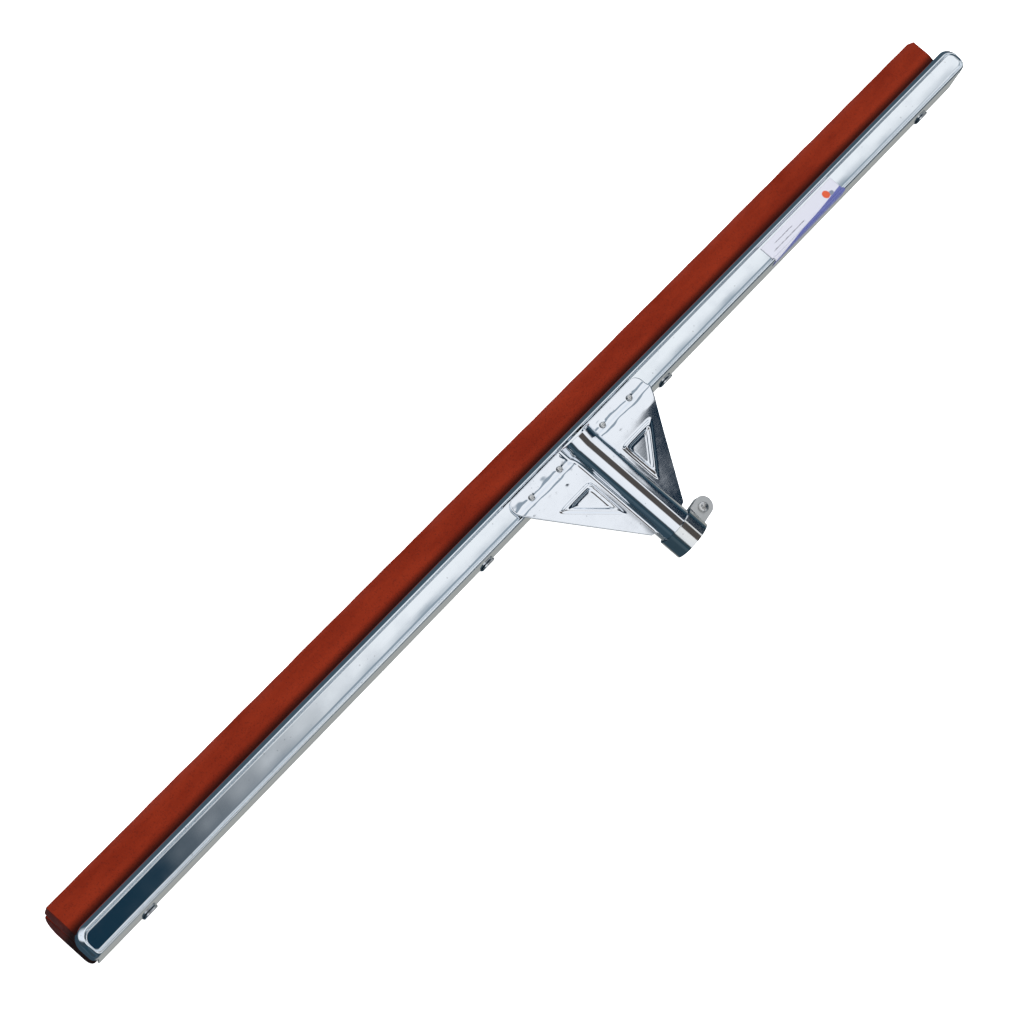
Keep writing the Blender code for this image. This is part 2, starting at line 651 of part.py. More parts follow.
def label(parts, finish):
    """Paper strip on the panel, over the far shoulder and a little down the wall."""
    lift = GAP
    path = [
        (PANEL_NEAR + LABEL_MARGIN, PANEL_TOP + lift),
        (PANEL_FAR - PANEL_SLOPE / 2, PANEL_TOP + lift),
        (PANEL_FAR + PANEL_SLOPE * 0.75, SHELL_TOP + lift),
        (WALL_FACE - SHOULDER_ROUND, SHELL_TOP + lift),
        (WALL_FACE - lift / 2, SHELL_TOP - lift / 2),
        (WALL_FACE + lift, SHELL_TOP - SHOULDER_ROUND),
        (WALL_FACE + lift, SHELL_TOP - LABEL_WALL_DROP),
    ]
    outline = sheet_outline(path, LABEL_THICKNESS)
    return lengthwise("label", outline, LABEL_START, LABEL_LENGTH, parts, finish)


def main():
    clear_scene()
    parts = new_collection("window_squeegee")
    tools = new_collection("cutters")
    foam = material("red_foam_rubber", (0.21, 0.030, 0.018), 0.85, 0)
    plate = material("bright_plated_sheet", (0.80, 0.82, 0.84), 0.16, 1)
    steel = material("zinc_plated_steel", (0.62, 0.63, 0.64), 0.30, 1)
    paper = material("label_paper", (0.82, 0.82, 0.86), 0.60, 0)

    front_blade(parts, foam)
    back_blade(parts, foam)
    blade_spacer(parts, steel)
    back_strip(parts, steel)
    shell = front_shell(parts, plate)
    front, _ = bracket_plates(parts, tools, plate)
    flange_rivets(parts, tools, steel, (shell, front))
    frame_clips(parts, steel)
    clamp_band(parts, tools, plate)
    axis, washer_top, nut_top = clamp_screw(parts, tools, steel)
    ring("clamp_washer", WASHER_RADIUS, 24, washer_top - WASHER_THICKNESS, washer_top, axis,
         parts, tools, steel)
    nut_radius = NUT_FLATS / 2 / math.cos(math.pi / 6)
    ring("clamp_nut", nut_radius, 6, nut_top - NUT_HEIGHT, nut_top, axis, parts, tools, steel)
    label(parts, paper)
    bpy.context.view_layer.update()


main()
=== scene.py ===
"""Looks of the window squeegee: two foam rubber blades in a plated steel frame with a handle socket.

X runs along the blades, +Y points to the wiping lips and +Z is the front.  The frame gives the
places.  "From the lip" is a positive distance toward the socket; "place" is a distance from the
bend along the socket's axis.
"""
import json
import math

import bmesh
import bpy
import numpy as np
from mathutils import Matrix, Vector


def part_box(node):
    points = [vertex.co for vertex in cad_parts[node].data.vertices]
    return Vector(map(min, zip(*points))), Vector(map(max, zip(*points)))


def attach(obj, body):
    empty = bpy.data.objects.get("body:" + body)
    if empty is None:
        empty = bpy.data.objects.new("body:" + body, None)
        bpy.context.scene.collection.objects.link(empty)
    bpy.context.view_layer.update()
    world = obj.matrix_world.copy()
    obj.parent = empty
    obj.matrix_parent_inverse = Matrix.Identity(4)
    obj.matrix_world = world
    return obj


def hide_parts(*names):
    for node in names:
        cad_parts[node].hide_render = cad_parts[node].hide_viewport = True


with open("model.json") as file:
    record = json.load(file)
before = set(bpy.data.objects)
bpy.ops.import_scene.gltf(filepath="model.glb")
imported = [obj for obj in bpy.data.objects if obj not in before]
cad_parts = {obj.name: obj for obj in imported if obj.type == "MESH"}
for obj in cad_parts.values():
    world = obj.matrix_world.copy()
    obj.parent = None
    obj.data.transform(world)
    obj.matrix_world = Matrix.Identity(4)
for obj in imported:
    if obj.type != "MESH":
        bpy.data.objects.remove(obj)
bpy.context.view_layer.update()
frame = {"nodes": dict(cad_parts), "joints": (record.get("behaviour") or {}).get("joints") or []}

MM = 0.001

# Places from the frame
BLADE_LOW, BLADE_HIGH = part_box("front_blade")
BACK_LOW, BACK_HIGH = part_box("back_blade")
SHELL_LOW_CORNER, SHELL_HIGH_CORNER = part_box("front_shell")
STRIP_LOW, STRIP_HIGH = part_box("back_strip")
LABEL_LOW, LABEL_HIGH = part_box("label")
LIP = BLADE_HIGH.y

# Blades
LIP_SLOT_WIDTH = 3.6 * MM
LIP_SLOT_DEPTH = 9 * MM
LIP_STEP = 1.2 * MM                 # the back lip stands behind the front lip
BACK_LIP_ROUND = (11.5 * MM, 13 * MM)   # how far the back lip's round reaches in Z and in Y
BACK_HEEL_ROUND = (11.5 * MM, 7 * MM)
PINCH_DEPTH = 1.5 * MM
PINCH_LENGTH = 5 * MM
SPACER_NEAR = 26.7 * MM
SPACER_SEAT = 0.9 * MM
BLADE_EDGE = 0.7 * MM               # softness of the cut edges
RIGHT_CORNER = 4.5 * MM             # rubbed round at the right end of the lips
LIP_WANDER = 0.35 * MM              # how far the cut line strays
LIP_ZONE = 14 * MM                  # and how far behind the lip this is felt
ROW_STEP = 5 * MM                   # spacing of the grid's rows along the blades
OUTLINE_STEP = 2.2 * MM             # and of the points round their section

# Shell
SHELL_SHEET = 1.0 * MM
SHELL_RISE = 7.6 * MM
SKIRT_LEAN = 3.6 * MM
SKIRT_KNEE = 0.66                   # share of the skirt's height that stands upright
SHOULDER_ROUND = 1.3 * MM
KNEE_SOFTNESS = 0.03
BEAD_START = math.radians(52)       # the skirt's slope where the bead takes over
PANEL_EDGE = 6 * MM                 # the pan's near edge to the sunk panel
END_SHARE = 0.75                    # the slopes are this much narrower at the pan's two ends
PANEL_BACK = 2.8 * MM               # the sunk panel to the wall's face
PANEL_RECESS = 1.6 * MM
NEAR_ROUND = 0.47                   # corner radius as a share of the pan's width, rubber side
LEFT_ROUND = 0.19                   # socket side, left end
RIGHT_ROUND = 0.42                  # socket side, right end
WALL_END_STEP = 2.6 * MM
EDGE_FLARE = 0.45 * MM              # the skirt's free edge turns out this far
EDGE_FLARE_HEIGHT = 0.5 * MM
PANEL_SAG = 0.1 * MM
PANEL_SAG_START = 10 * MM           # the sag grows over this much from the panel's ends
PANEL_ROWS = 9                      # rows of points across the panel
SKIRT_SHARES = (0, 0.03, 0.07, 0.13, 0.22, 0.4, 0.55, 0.62, 0.66, 0.7, 0.76, 0.88, 1)  # of its height
BEAD_SHARES = np.linspace(0.13, 0.93, 7)    # of the bead's turn
SLOPE_SHARES = np.linspace(0, 1, 13)        # of the slope down to the panel
PAN_CORNER_POINTS = 14
PAN_END_STEPS = (0.3, 0.6, 1.0, 1.5, 2.0, 2.6, 4, 8)    # mm from a corner, closer near it
PAN_MIDDLE_START = 12 * MM          # even spacing begins this far from a corner
PAN_MIDDLE_POINTS = 150

# Bracket and socket
TUBE = next(joint for joint in frame["joints"] if joint["name"] == "clamp_turn")
SCREW = next(joint for joint in frame["joints"] if joint["name"] == "screw_turn")
SCREW_LINE = 79.7 * MM              # bend to the band's middle
LEAN_START = 7 * MM                 # before the bend, where the socket's lean begins
SOCKET_RADIUS = 12.7 * MM
BRACKET_SHEET = 1.2 * MM
PLATE_GAP = 0.3 * MM
WING_FACE = 1.35 * MM               # front of the wings over the tube axis
WING_FILLET = 2.2 * MM
FLANGE_HALF = 68.5 * MM
FLANGE_CORNER = 6 * MM
WING_TOP_HALF = 66.5 * MM
WING_TIP_HALF = 16.5 * MM
WING_LENGTH = 66 * MM
WING_BOW = 0.9 * MM                 # the wings' outer edges bend back this far
BOW_RUN = 40 * MM                   # and reach that bow this far behind the bend
BACK_WING_INSET = 3 * MM
BACK_START = 6 * MM
TUBE_END = 86 * MM
TUBE_LIP = 0.05 * MM
BEND_REACH = 7 * MM                 # softness of the bend
JOGGLE_REACH = 3 * MM
JOGGLE_START = 2.6 * MM             # before the panel's far edge
RIB_INNER = 19 * MM
RIB_OUTER = 45.5 * MM
RIB_TOP = 13.5 * MM
RIB_LENGTH = 26 * MM
RIB_HEIGHT = 0.85 * MM
RIB_HALF_WIDTH = 1.5 * MM
RIB_SOFTNESS = 1.1 * MM             # how round the ribs' corners are
RIB_SINK = 0.55 * MM                # the field inside the rib lies this much lower
DENT_DEPTH = 0.55 * MM              # round the rivets
DENT_RADIUS = 4.2 * MM
DENT_OVAL = 0.8                     # a dent is longer along the flange
DENT_RIPPLE = 0.35
BUCKLE = 0.14 * MM                  # slow buckles in the flange
RELIEF_START = 6 * MM               # ribs and dents reach full height this far from fillet and bend
EDGE_BLEND = 1.2 * MM               # softness where the flange's end meets the wing's slanted edge
TIP_START, TIP_END = 0.8 * MM, 0.4 * MM     # the wings end between these, before and after the tip
TIP_FADE = 2 * MM                   # and the fillet shrinks over this much
FLANGE_ROWS, WING_ROWS, TUBE_ROWS = 40, 92, 16
WING_COLUMNS, FILLET_COLUMNS, ROUND_COLUMNS = 58, 9, 25

# Rivets
RIVETS = range(1, 5)
RIVET_DOME = 1.0 * MM
RIVET_DOME_SHARE = 0.92             # of the head's radius; a flat rim stands round the dome
RIVET_DIMPLE = (0.22, 0.14, 0.03)   # mm, how far the dome's middle is pressed in
RIVET_RIM_TOP, RIVET_RIM_LOW = 1.02 * MM, 1.1 * MM      # under the top
RIVET_SHANK_SHARE = 0.62
RIVET_TAIL = 0.9 * MM
ROUND_SEGMENTS = 40                 # round a rivet, a hole and the screw

# Clamp
BAND_SHEET = 1.2 * MM
BAND_LENGTH = 14.6 * MM
BAND_RADIUS = 13.0 * MM
EAR_REACH = 31 * MM
EAR_GAP = 3 * MM
EAR_HALF_HEIGHT = 6.7 * MM
EAR_ROOT = (13 * MM, 16 * MM)       # the strip narrows to the ears between these
EAR_BEND = 1.6 * MM                 # softness where the ring turns into an ear
EAR_END = 0.4 * MM                  # half the height that is left at an ear's end
RING_POINTS = 90
BAND_STEP = 0.7 * MM
BAND_COLUMNS = 21
HOLE_ROOM = 0.3 * MM
DRILL_REACH = 5 * MM
SCREW_PLACE = 22.6 * MM
SCREW_RADIUS = 2 * MM
HEAD_RADIUS = 3.6 * MM
HEAD_HEIGHT = 2.4 * MM
HEAD_RIM_SHARE = 0.35               # of the head's height; the rest is the dome
HEAD_CHAMFER = 0.15 * MM
HEAD_SLOT = 0.9 * MM
HEAD_SLOT_DEPTH = 1.0 * MM
THREAD_PITCH = 0.7 * MM
THREAD_DEPTH = 0.38 * MM
THREAD_START = 1.2 * MM             # below the screw's middle
THREAD_FULL = 1.9 * MM
THREAD_ROWS = 100
SCREW_PAST_NUT = 6.4 * MM           # under the nut's upper face
SCREW_CHAMFER = 0.4 * MM            # along the screw's end
SCREW_END_STEP = 0.5 * MM           # and across it
SLOT_TURN = math.radians(35)
NUT_FLATS = 7 * MM
NUT_HEIGHT = 3.2 * MM
WASHER_RADIUS = 4.4 * MM
WASHER_HEIGHT = 0.8 * MM
RING_ROOM = 0.15 * MM               # round the screw, in the washer and the nut
NUT_EDGE, WASHER_EDGE, RING_HOLE_EDGE = 0.5 * MM, 0.25 * MM, 0.2 * MM
RING_STEP = 0.35 * MM
RING_SEGMENTS = 72

# Strip and clips behind the blades
CLIPS = range(1, 5)
CLIP_SHEET = 1.2 * MM
CLIP_FOOT = 3.1 * MM                # how far a clip's foot lies under the strip's edge
CLIP_CORNER = 2.5 * MM
CLIP_BEND_REACH = 1.8 * MM
CLIP_STEP = 0.8 * MM
STRIP_CORNER = 4 * MM
STRIP_EDGE = 0.5 * MM
STRIP_END = 0.4 * MM

# Label
LABEL_SHEET = 0.15 * MM
LABEL_LIFT = 0.06 * MM
LABEL_CURL = 0.12 * MM
LABEL_CURL_REACH = 3 * MM
LABEL_WAVE = 0.02 * MM
LABEL_COLUMNS = 90
LABEL_UNIT = 5 * MM                 # one unit of the print's own coordinates
LABEL_BAND_EDGE = 2.95              # where the blue band begins, across the sheet
LABEL_BAND_SLOPE = 0.075
WARM_MARK = ((14.3, 1.25, 0), (0.62, 0.6, 1), 0.4)      # middle, half size, raggedness
COOL_MARK = ((15.1, 1.6, 0), (0.5, 0.32, 1), 0.3)
LABEL_RULES = ((0.85, 0.97, 2.2, 6.4), (1.55, 1.67, 1.2, 8.6))  # from and to, across and along

# Colours
RUBBER_DEEP, RUBBER_PALE = (0.175, 0.0150, 0.0045), (0.240, 0.024, 0.0075)
CELL_SHADE = (0.055, 0.008, 0.006)
GRAIN_SHADE = (0.11, 0.014, 0.009)
DUST_SHADE = (0.17, 0.045, 0.040)
# painted shade: the end face that looks to -X, darkened as if less light reached it
END_FACE_PAINTED_SHADE = (0.030, 0.0035, 0.0035)
# painted shade: the rubber's colour near the shell's edge, where the shell shades it
SHELL_EDGE_PAINTED_SHADE = (0.008, 0.0022, 0.002)
PLATE_PIT = (0.30, 0.31, 0.33)
ZINC_PIT = (0.16, 0.15, 0.14)
PAPER_DULL, PAPER_CLEAN = (0.56, 0.56, 0.63), (0.66, 0.66, 0.72)
PRINT_BLUE = (0.11, 0.125, 0.34)
PRINT_WARM = (0.62, 0.085, 0.025)
PRINT_COOL = (0.20, 0.22, 0.28)
PRINT_RULE = (0.10, 0.10, 0.13)
FLOOR_DULL, FLOOR_CLEAN = (0.93, 0.93, 0.93), (0.96, 0.96, 0.96)
TENT_LOW, TENT_HIGH = (0.80, 0.86, 0.94), (0.95, 0.97, 1.0)
TENT_RIM = (0.022, 0.058, 0.085)
BELOW_DARK, BELOW_GREY = (0.035, 0.065, 0.09), (0.36, 0.37, 0.36)
DUST_ZONE = (6 * MM, 0.5 * MM)      # from the lip, where the rubber is dusty
PAINTED_SHADE_ZONE = (15 * MM, 21.5 * MM)   # from the lip, where painted shade darkens the rubber toward the shell

# Light and camera
CAMERA_TARGET = Vector((-65.8, 33.2, 27.0)) * MM
CAMERA_DISTANCE = 1.703
CAMERA_SIDE = math.radians(29.0)    # toward the blades' left end
CAMERA_LOW = math.radians(6.33)     # toward the socket
CAMERA_TURN = math.radians(49.14)   # the blades run up to the right
CAMERA_LENS = 94.96
FLOOR_SIZE = 30.0

# The tent: where its shades begin and end, as the Z, X or Y of the direction of view
TENT_RISE = (0.05, 0.8)
TENT_FOOT = (0.0, 0.06)             # Z, no card reaches below this
FLATTEST = 0.02                     # Z, so that the roof's plane stays finite
RIM_BAND = (0.34, 0.13)
RIM_DEPTH = 0.95
BELOW_BAND = (-0.1, -0.25)
GREY_RIGHT = (-0.25, 0.15)
GREY_SOCKET = (0.25, 0.1)

# Corners (low, high), soft border and shade of each card, on the plane one unit overhead
TENT_CARDS = (
    ((0.38, 0.15), (0.90, 0.36), (0.08, 0.03), (0.30, 0.36, 0.42)),
    ((-0.10, -0.06), (0.40, 0.30), (0.08, 0.05), (0.008, 0.032, 0.056)),
    ((0.630, -2.5), (9.0, -0.366), (0.010, 0.008), (0.010, 0.024, 0.042)),
    ((-0.22, -0.62), (0.46, -0.22), (0.06, 0.05), (0.085, 0.075, 0.07)),
    ((-9.0, -9.0), (-2.0, 9.0), (0.3, 0.5), (0.04, 0.06, 0.075)),
)
WELD = 1e-6                         # points closer than this are one point


# ---------------------------------------------------------------- mesh tools

def soften(corners, reach, steps=6, closed=True):
    """Each corner becomes a parabola that starts `reach` before it and ends `reach` after it.

    The parabola is (1-t)^2 A + 2t(1-t) P + t^2 B, with P the corner and A, B on its two sides.
    """
    corners = np.asarray(corners, float)
    reach = np.broadcast_to(np.asarray(reach, float), len(corners))[:, None]
    before = np.roll(corners, 1, 0) - corners
    after = np.roll(corners, -1, 0) - corners
    before_run = np.linalg.norm(before, axis=1, keepdims=True)
    after_run = np.linalg.norm(after, axis=1, keepdims=True)
    first = corners + before / before_run * np.minimum(reach, before_run * 0.46)
    last = corners + after / after_run * np.minimum(reach, after_run * 0.46)
    t = np.linspace(0, 1, steps)[None, :, None]
    curves = (1 - t) ** 2 * first[:, None] + 2 * t * (1 - t) * corners[:, None] + t ** 2 * last[:, None]
    if closed:
        return curves.reshape(-1, 2)
    return np.vstack([corners[:1], curves[1:-1].reshape(-1, 2), corners[-1:]])


def refine(line, spacing, closed=True):
    """Adds points to a line so that no step is longer than the spacing; its own points stay."""
    if closed:
        line = np.vstack([line, line[:1]])
    run = np.concatenate([[0], np.cumsum(np.linalg.norm(np.diff(line, axis=0), axis=1))])
    places = np.unique(np.round(np.concatenate([run, np.arange(0, run[-1], spacing)]), 7))
    points = np.stack([np.interp(places, run, line[:, axis]) for axis in range(2)], 1)
    return points[:-1] if closed else points


def wander(x, phase=0.0):
    """A slow wave from -1 to 1: three sines whose wavelengths have no common multiple."""
    return (np.sin(x * 41 + phase) + np.sin(x * 97 + 2.1 * phase) + np.sin(x * 233 + phase * 3.7)) / 3


def smooth_step(value, low, high):
    """0 below low, 1 above high, and 3t^2 - 2t^3 in between."""
    t = np.clip((value - low) / (high - low), 0, 1)
    return t * t * (3 - 2 * t)


def points(x, y, z):
    """A grid of points from its three coordinates, each a full grid, a row, a column or a value."""
    return np.stack(np.broadcast_arrays(x, y, z), -1)


def corner_cut(distance, radius):
    """How far a round corner has drawn in at a distance d from the end: R - sqrt(R^2 - (R - d)^2)."""
    short = np.clip(radius - distance, 0, radius)
    return radius - np.sqrt(radius ** 2 - short ** 2)


def weld_into(mesh, sources, distance):
    """Fills the mesh with the joined sources, doubles merged and faces turned outward."""
    shape = bmesh.new()
    for source in sources:
        shape.from_mesh(source)
    bmesh.ops.remove_doubles(shape, verts=shape.verts, dist=distance)
    bmesh.ops.recalc_face_normals(shape, faces=shape.faces)
    shape.to_mesh(mesh)
    shape.free()
    return mesh


def grid_mesh(name, grid, round_rows=False, round_columns=False, caps=False, weld=False):
    """A mesh from an array of points, rows by columns.  A round direction joins its end to its start."""
    rows, columns = grid.shape[:2]
    index = np.arange(rows * columns).reshape(rows, columns)
    if round_rows:
        index = np.vstack([index, index[:1]])
    if round_columns:
        index = np.hstack([index, index[:, :1]])
    faces = np.stack([index[:-1, :-1], index[:-1, 1:], index[1:, 1:], index[1:, :-1]], -1)
    faces = faces.reshape(-1, 4).tolist()
    if caps:
        faces.append(index[0, :columns][::-1].tolist())
        faces.append(index[-1, :columns].tolist())
    mesh = bpy.data.meshes.new(name)
    mesh.from_pydata(grid.reshape(-1, 3).tolist(), [], faces)
    return weld_into(mesh, [mesh], WELD) if weld else mesh


def new_object(name, data):
    """An object with the given data, in the scene."""
    made = bpy.data.objects.new(name, data)
    bpy.context.scene.collection.objects.link(made)
    return made


def add_piece(name, mesh, finish, body, nodes, sharp=40):
    """A finished piece: its material, the body that it rides on and the nodes that it stands for."""
    piece = new_object(name, mesh)
    mesh.materials.clear()
    mesh.materials.append(finish)
    mesh.shade_smooth()
    mesh.set_sharp_from_angle(angle=math.radians(sharp))
    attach(piece, body)
    if nodes:
        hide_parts(*nodes)
    return piece


def give_wall(piece, thickness, offset=-1):
    """Thickness for a sheet: inward of its surface, or half to each side where the offset is 0."""
    wall = piece.modifiers.new("wall", "SOLIDIFY")
    wall.thickness = thickness
    wall.offset = offset
    wall.use_even_offset = True


def finished_mesh(piece):
    """The mesh of a piece as its modifiers leave it."""
    bpy.context.view_layer.update()
    depsgraph = bpy.context.evaluated_depsgraph_get()
    return bpy.data.meshes.new_from_object(piece.evaluated_get(depsgraph))


def cut_away(mesh, cutter_mesh):
    """The mesh with another one cut out of it."""
    piece, cutter = (new_object(part.name, part) for part in (mesh, cutter_mesh))
    cut = piece.modifiers.new("cut", "BOOLEAN")
    cut.operation = "DIFFERENCE"
    cut.solver = "EXACT"
    cut.object = cutter
    result = finished_mesh(piece)
    result.name = mesh.name
    for made in (piece, cutter):
        bpy.data.objects.remove(made, do_unlink=True)
    return result


def walled(mesh, thickness, offset):
    """The mesh of a sheet, given its thickness."""
    piece = new_object(mesh.name, mesh)
    give_wall(piece, thickness, offset)
    result = finished_mesh(piece)
    bpy.data.objects.remove(piece, do_unlink=True)
    return result


def bar_grid(outline, start, end, edge, spacing):
    """An outline in (Y, Z) carried along X, with its end edges rounded.

    While a turns from 0 to 90 degrees the row moves in by edge (1 - cos a) and the outline,
    drawn in along its normals by edge (1 - sin a), opens to its full size.
    """
    outline = np.asarray(outline, float)
    ahead = np.roll(outline, -1, 0)
    if np.sum(outline[:, 0] * ahead[:, 1] - ahead[:, 0] * outline[:, 1]) < 0:
        outline = outline[::-1]
    tangent = np.roll(outline, -1, 0) - np.roll(outline, 1, 0)
    tangent /= np.linalg.norm(tangent, axis=1, keepdims=True)
    normal = np.stack([tangent[:, 1], -tangent[:, 0]], 1)
    turn = np.linspace(0, math.pi / 2, 5)
    moved = edge * (1 - np.cos(turn))
    drawn = edge * (1 - np.sin(turn))
    middle = np.linspace(start + edge, end - edge, max(3, int((end - start) / spacing)))[1:-1]
    along = np.concatenate([start + moved, middle, (end - moved)[::-1]])
    inset = np.concatenate([drawn, np.zeros(len(middle)), drawn[::-1]])
    section = outline[None] - normal[None] * inset[:, None, None]
    return points(along[:, None], section[..., 0], section[..., 1])


def turned_grid(profile, segments, matrix):
    """A profile of (radius, height) turned once round the matrix's Z axis."""
    profile = np.asarray(profile, float)
    angle = np.arange(segments) * math.tau / segments
    radius = profile[:, :1]
    return placed(points(radius * np.cos(angle), radius * np.sin(angle), profile[:, 1:]), matrix)


def placed(local, matrix):
    """Points of a local frame in the object's own frame."""
    array = np.array(matrix, float)
    return local @ array[:3, :3].T + array[:3, 3]


def frame_at(origin, upward, front):
    """Frame with Y up the tube and Z to the front."""
    turn = Matrix((upward.cross(front), upward, front)).transposed().to_4x4()
    return Matrix.Translation(origin) @ turn


def lean(place):
    """How far the tube's axis has moved to +X: tan(lean angle) times the distance since it began."""
    return math.tan(LEAN_ANGLE) * np.maximum(0, place + LEAN_START)


def socket_frame():
    """Frame at the bend, square to the blades: X across, Y up the tube, Z to the front."""
    across = Vector((1, 0, 0))
    upward = FRONT.cross(across)
    origin = BAND_MIDDLE + upward * SCREW_LINE - across * float(lean(SCREW_LINE))
    return frame_at(origin, upward, FRONT)


FRONT = Vector(SCREW["axis"]).normalized()
TUBE_AXIS = Vector(TUBE["axis"]).normalized()
BAND_MIDDLE = Vector(TUBE["pos_m"])
LEAN_ANGLE = math.asin(-TUBE_AXIS.x)
SOCKET = socket_frame()
BAND_CENTRE = frame_at(BAND_MIDDLE, TUBE_AXIS, FRONT)
SCREW_AXIS = BAND_CENTRE @ Matrix.Translation((SCREW_PLACE, 0, 0))


# ---------------------------------------------------------------- node tools

def feed(tree, node, inputs):
    """Gives each named input its value, or a link where the value is another node's socket."""
    for key, value in inputs.items():
        if isinstance(value, bpy.types.NodeSocket):
            tree.links.new(value, node.inputs[key])
        else:
            node.inputs[key].default_value = value


def add_node(tree, kind, inputs=None, **settings):
    """A shader node with its settings and inputs."""
    made = tree.nodes.new("ShaderNode" + kind)
    for key, value in settings.items():
        setattr(made, key, value)
    feed(tree, made, inputs or {})
    return made


def step_of(tree, value, low, high):
    """0 to 1 as the value goes from low to high, with soft ends."""
    made = add_node(tree, "MapRange", {"Value": value, "From Min": low, "From Max": high},
                    interpolation_type="SMOOTHSTEP")
    return made.outputs["Result"]


def product(tree, first, second):
    """One value times the other."""
    return add_node(tree, "Math", {0: first, 1: second}, operation="MULTIPLY").outputs[0]


def total(tree, first, second):
    """One value plus the other."""
    return add_node(tree, "Math", {0: first, 1: second}, operation="ADD").outputs[0]


def noise(tree, vector, scale, detail, roughness=0.5):
    """Cloudy values from 0 to 1."""
    inputs = {"Vector": vector, "Scale": scale, "Detail": detail, "Roughness": roughness}
    return add_node(tree, "TexNoise", inputs).outputs["Fac"]


def stretched(tree, vector, scale):
    """Places scaled by a factor on each axis: a small factor draws a pattern out along that axis."""
    return add_node(tree, "Mapping", {"Vector": vector, "Scale": scale}).outputs[0]


def axis_of(tree, vector, axis):
    """One coordinate of a vector."""
    return add_node(tree, "SeparateXYZ", {"Vector": vector}).outputs[axis]


def bumped(tree, height, strength, depth):
    """A surface normal bent by a height."""
    inputs = {"Height": height, "Strength": strength, "Distance": depth}
    return add_node(tree, "Bump", inputs).outputs[0]


def blend_colour(tree, amount, first, second):
    """From the first colour to the second as the amount goes from 0 to 1."""
    made = add_node(tree, "Mix", data_type="RGBA")
    first, second = (value if isinstance(value, bpy.types.NodeSocket) else (*value, 1)
                     for value in (first, second))
    feed(tree, made, {0: amount, 6: first, 7: second})
    return made.outputs[2]


def paint_over(tree, colour, mask, amount, shade):
    """The colour with a shade laid over it, as strongly as the mask times the amount."""
    return blend_colour(tree, product(tree, mask, amount), colour, shade)


def new_group(name, inputs, outputs):
    """An empty shader group; inputs and outputs are (name, socket type, first value)."""
    group = bpy.data.node_groups.new(name, "ShaderNodeTree")
    for label, kind, value in inputs:
        socket = group.interface.new_socket(label, in_out="INPUT", socket_type=kind)
        if value is not None:
            socket.default_value = value
    for label, kind, _ in outputs:
        group.interface.new_socket(label, in_out="OUTPUT", socket_type=kind)
    return group, group.nodes.new("NodeGroupInput"), group.nodes.new("NodeGroupOutput")


def use_group(tree, group, inputs):
    """A group placed in a material, with its own values."""
    made = tree.nodes.new("ShaderNodeGroup")
    made.node_tree = group
    feed(tree, made, inputs)
    return made


def rolled_sheet_group():
    """Pressed and rolled sheet: slow buckles, fine lines along X, faint smudges."""
    group, given, result = new_group(
        "rolled_sheet",
        [("Vector", "NodeSocketVector", None), ("Buckle Scale", "NodeSocketFloat", 22.0),
         ("Line Share", "NodeSocketFloat", 0.2)],
        [("Height", "NodeSocketFloat", None), ("Smudge", "NodeSocketFloat", None),
         ("Lines", "NodeSocketFloat", None)])
    place = given.outputs["Vector"]
    buckles = noise(group, stretched(group, place, (0.35, 1, 1)), given.outputs["Buckle Scale"], 1.0)
    lines = noise(group, stretched(group, place, (12, 2600, 2600)), 1.0, 2.0)
    cloud = noise(group, place, 65.0, 5.0, 0.62)
    height = total(group, buckles, product(group, lines, given.outputs["Line Share"]))
    feed(group, result, {"Height": height, "Smudge": step_of(group, cloud, 0.42, 0.72), "Lines": lines})
    return group


def speckle_group():
    """Small pits and specks of one size, as in a zinc coat or in foam."""
    group, given, result = new_group(
        "speckle",
        [("Vector", "NodeSocketVector", None), ("Scale", "NodeSocketFloat", 900.0),
         ("Size", "NodeSocketFloat", 0.3)],
        [("Pits", "NodeSocketFloat", None), ("Tone", "NodeSocketFloat", None)])
    cells = add_node(group, "TexVoronoi", {key: given.outputs[key] for key in ("Vector", "Scale")})
    shade = add_node(group, "SeparateColor", {"Color": cells.outputs["Color"]})
    reach = product(group, given.outputs["Size"], shade.outputs["Red"])
    ratio = add_node(group, "Math", {0: cells.outputs["Distance"], 1: reach}, operation="DIVIDE")
    pits = step_of(group, ratio.outputs[0], 1.25, 0.55)
    feed(group, result, {"Pits": pits, "Tone": shade.outputs["Green"]})
    return group


def new_material(name):
    """A material, its node tree, its shader and the place of a point on the object."""
    made = bpy.data.materials.new(name)
    made.use_nodes = True
    tree = made.node_tree
    return made, tree, tree.nodes["Principled BSDF"], add_node(tree, "TexCoord").outputs["Object"]


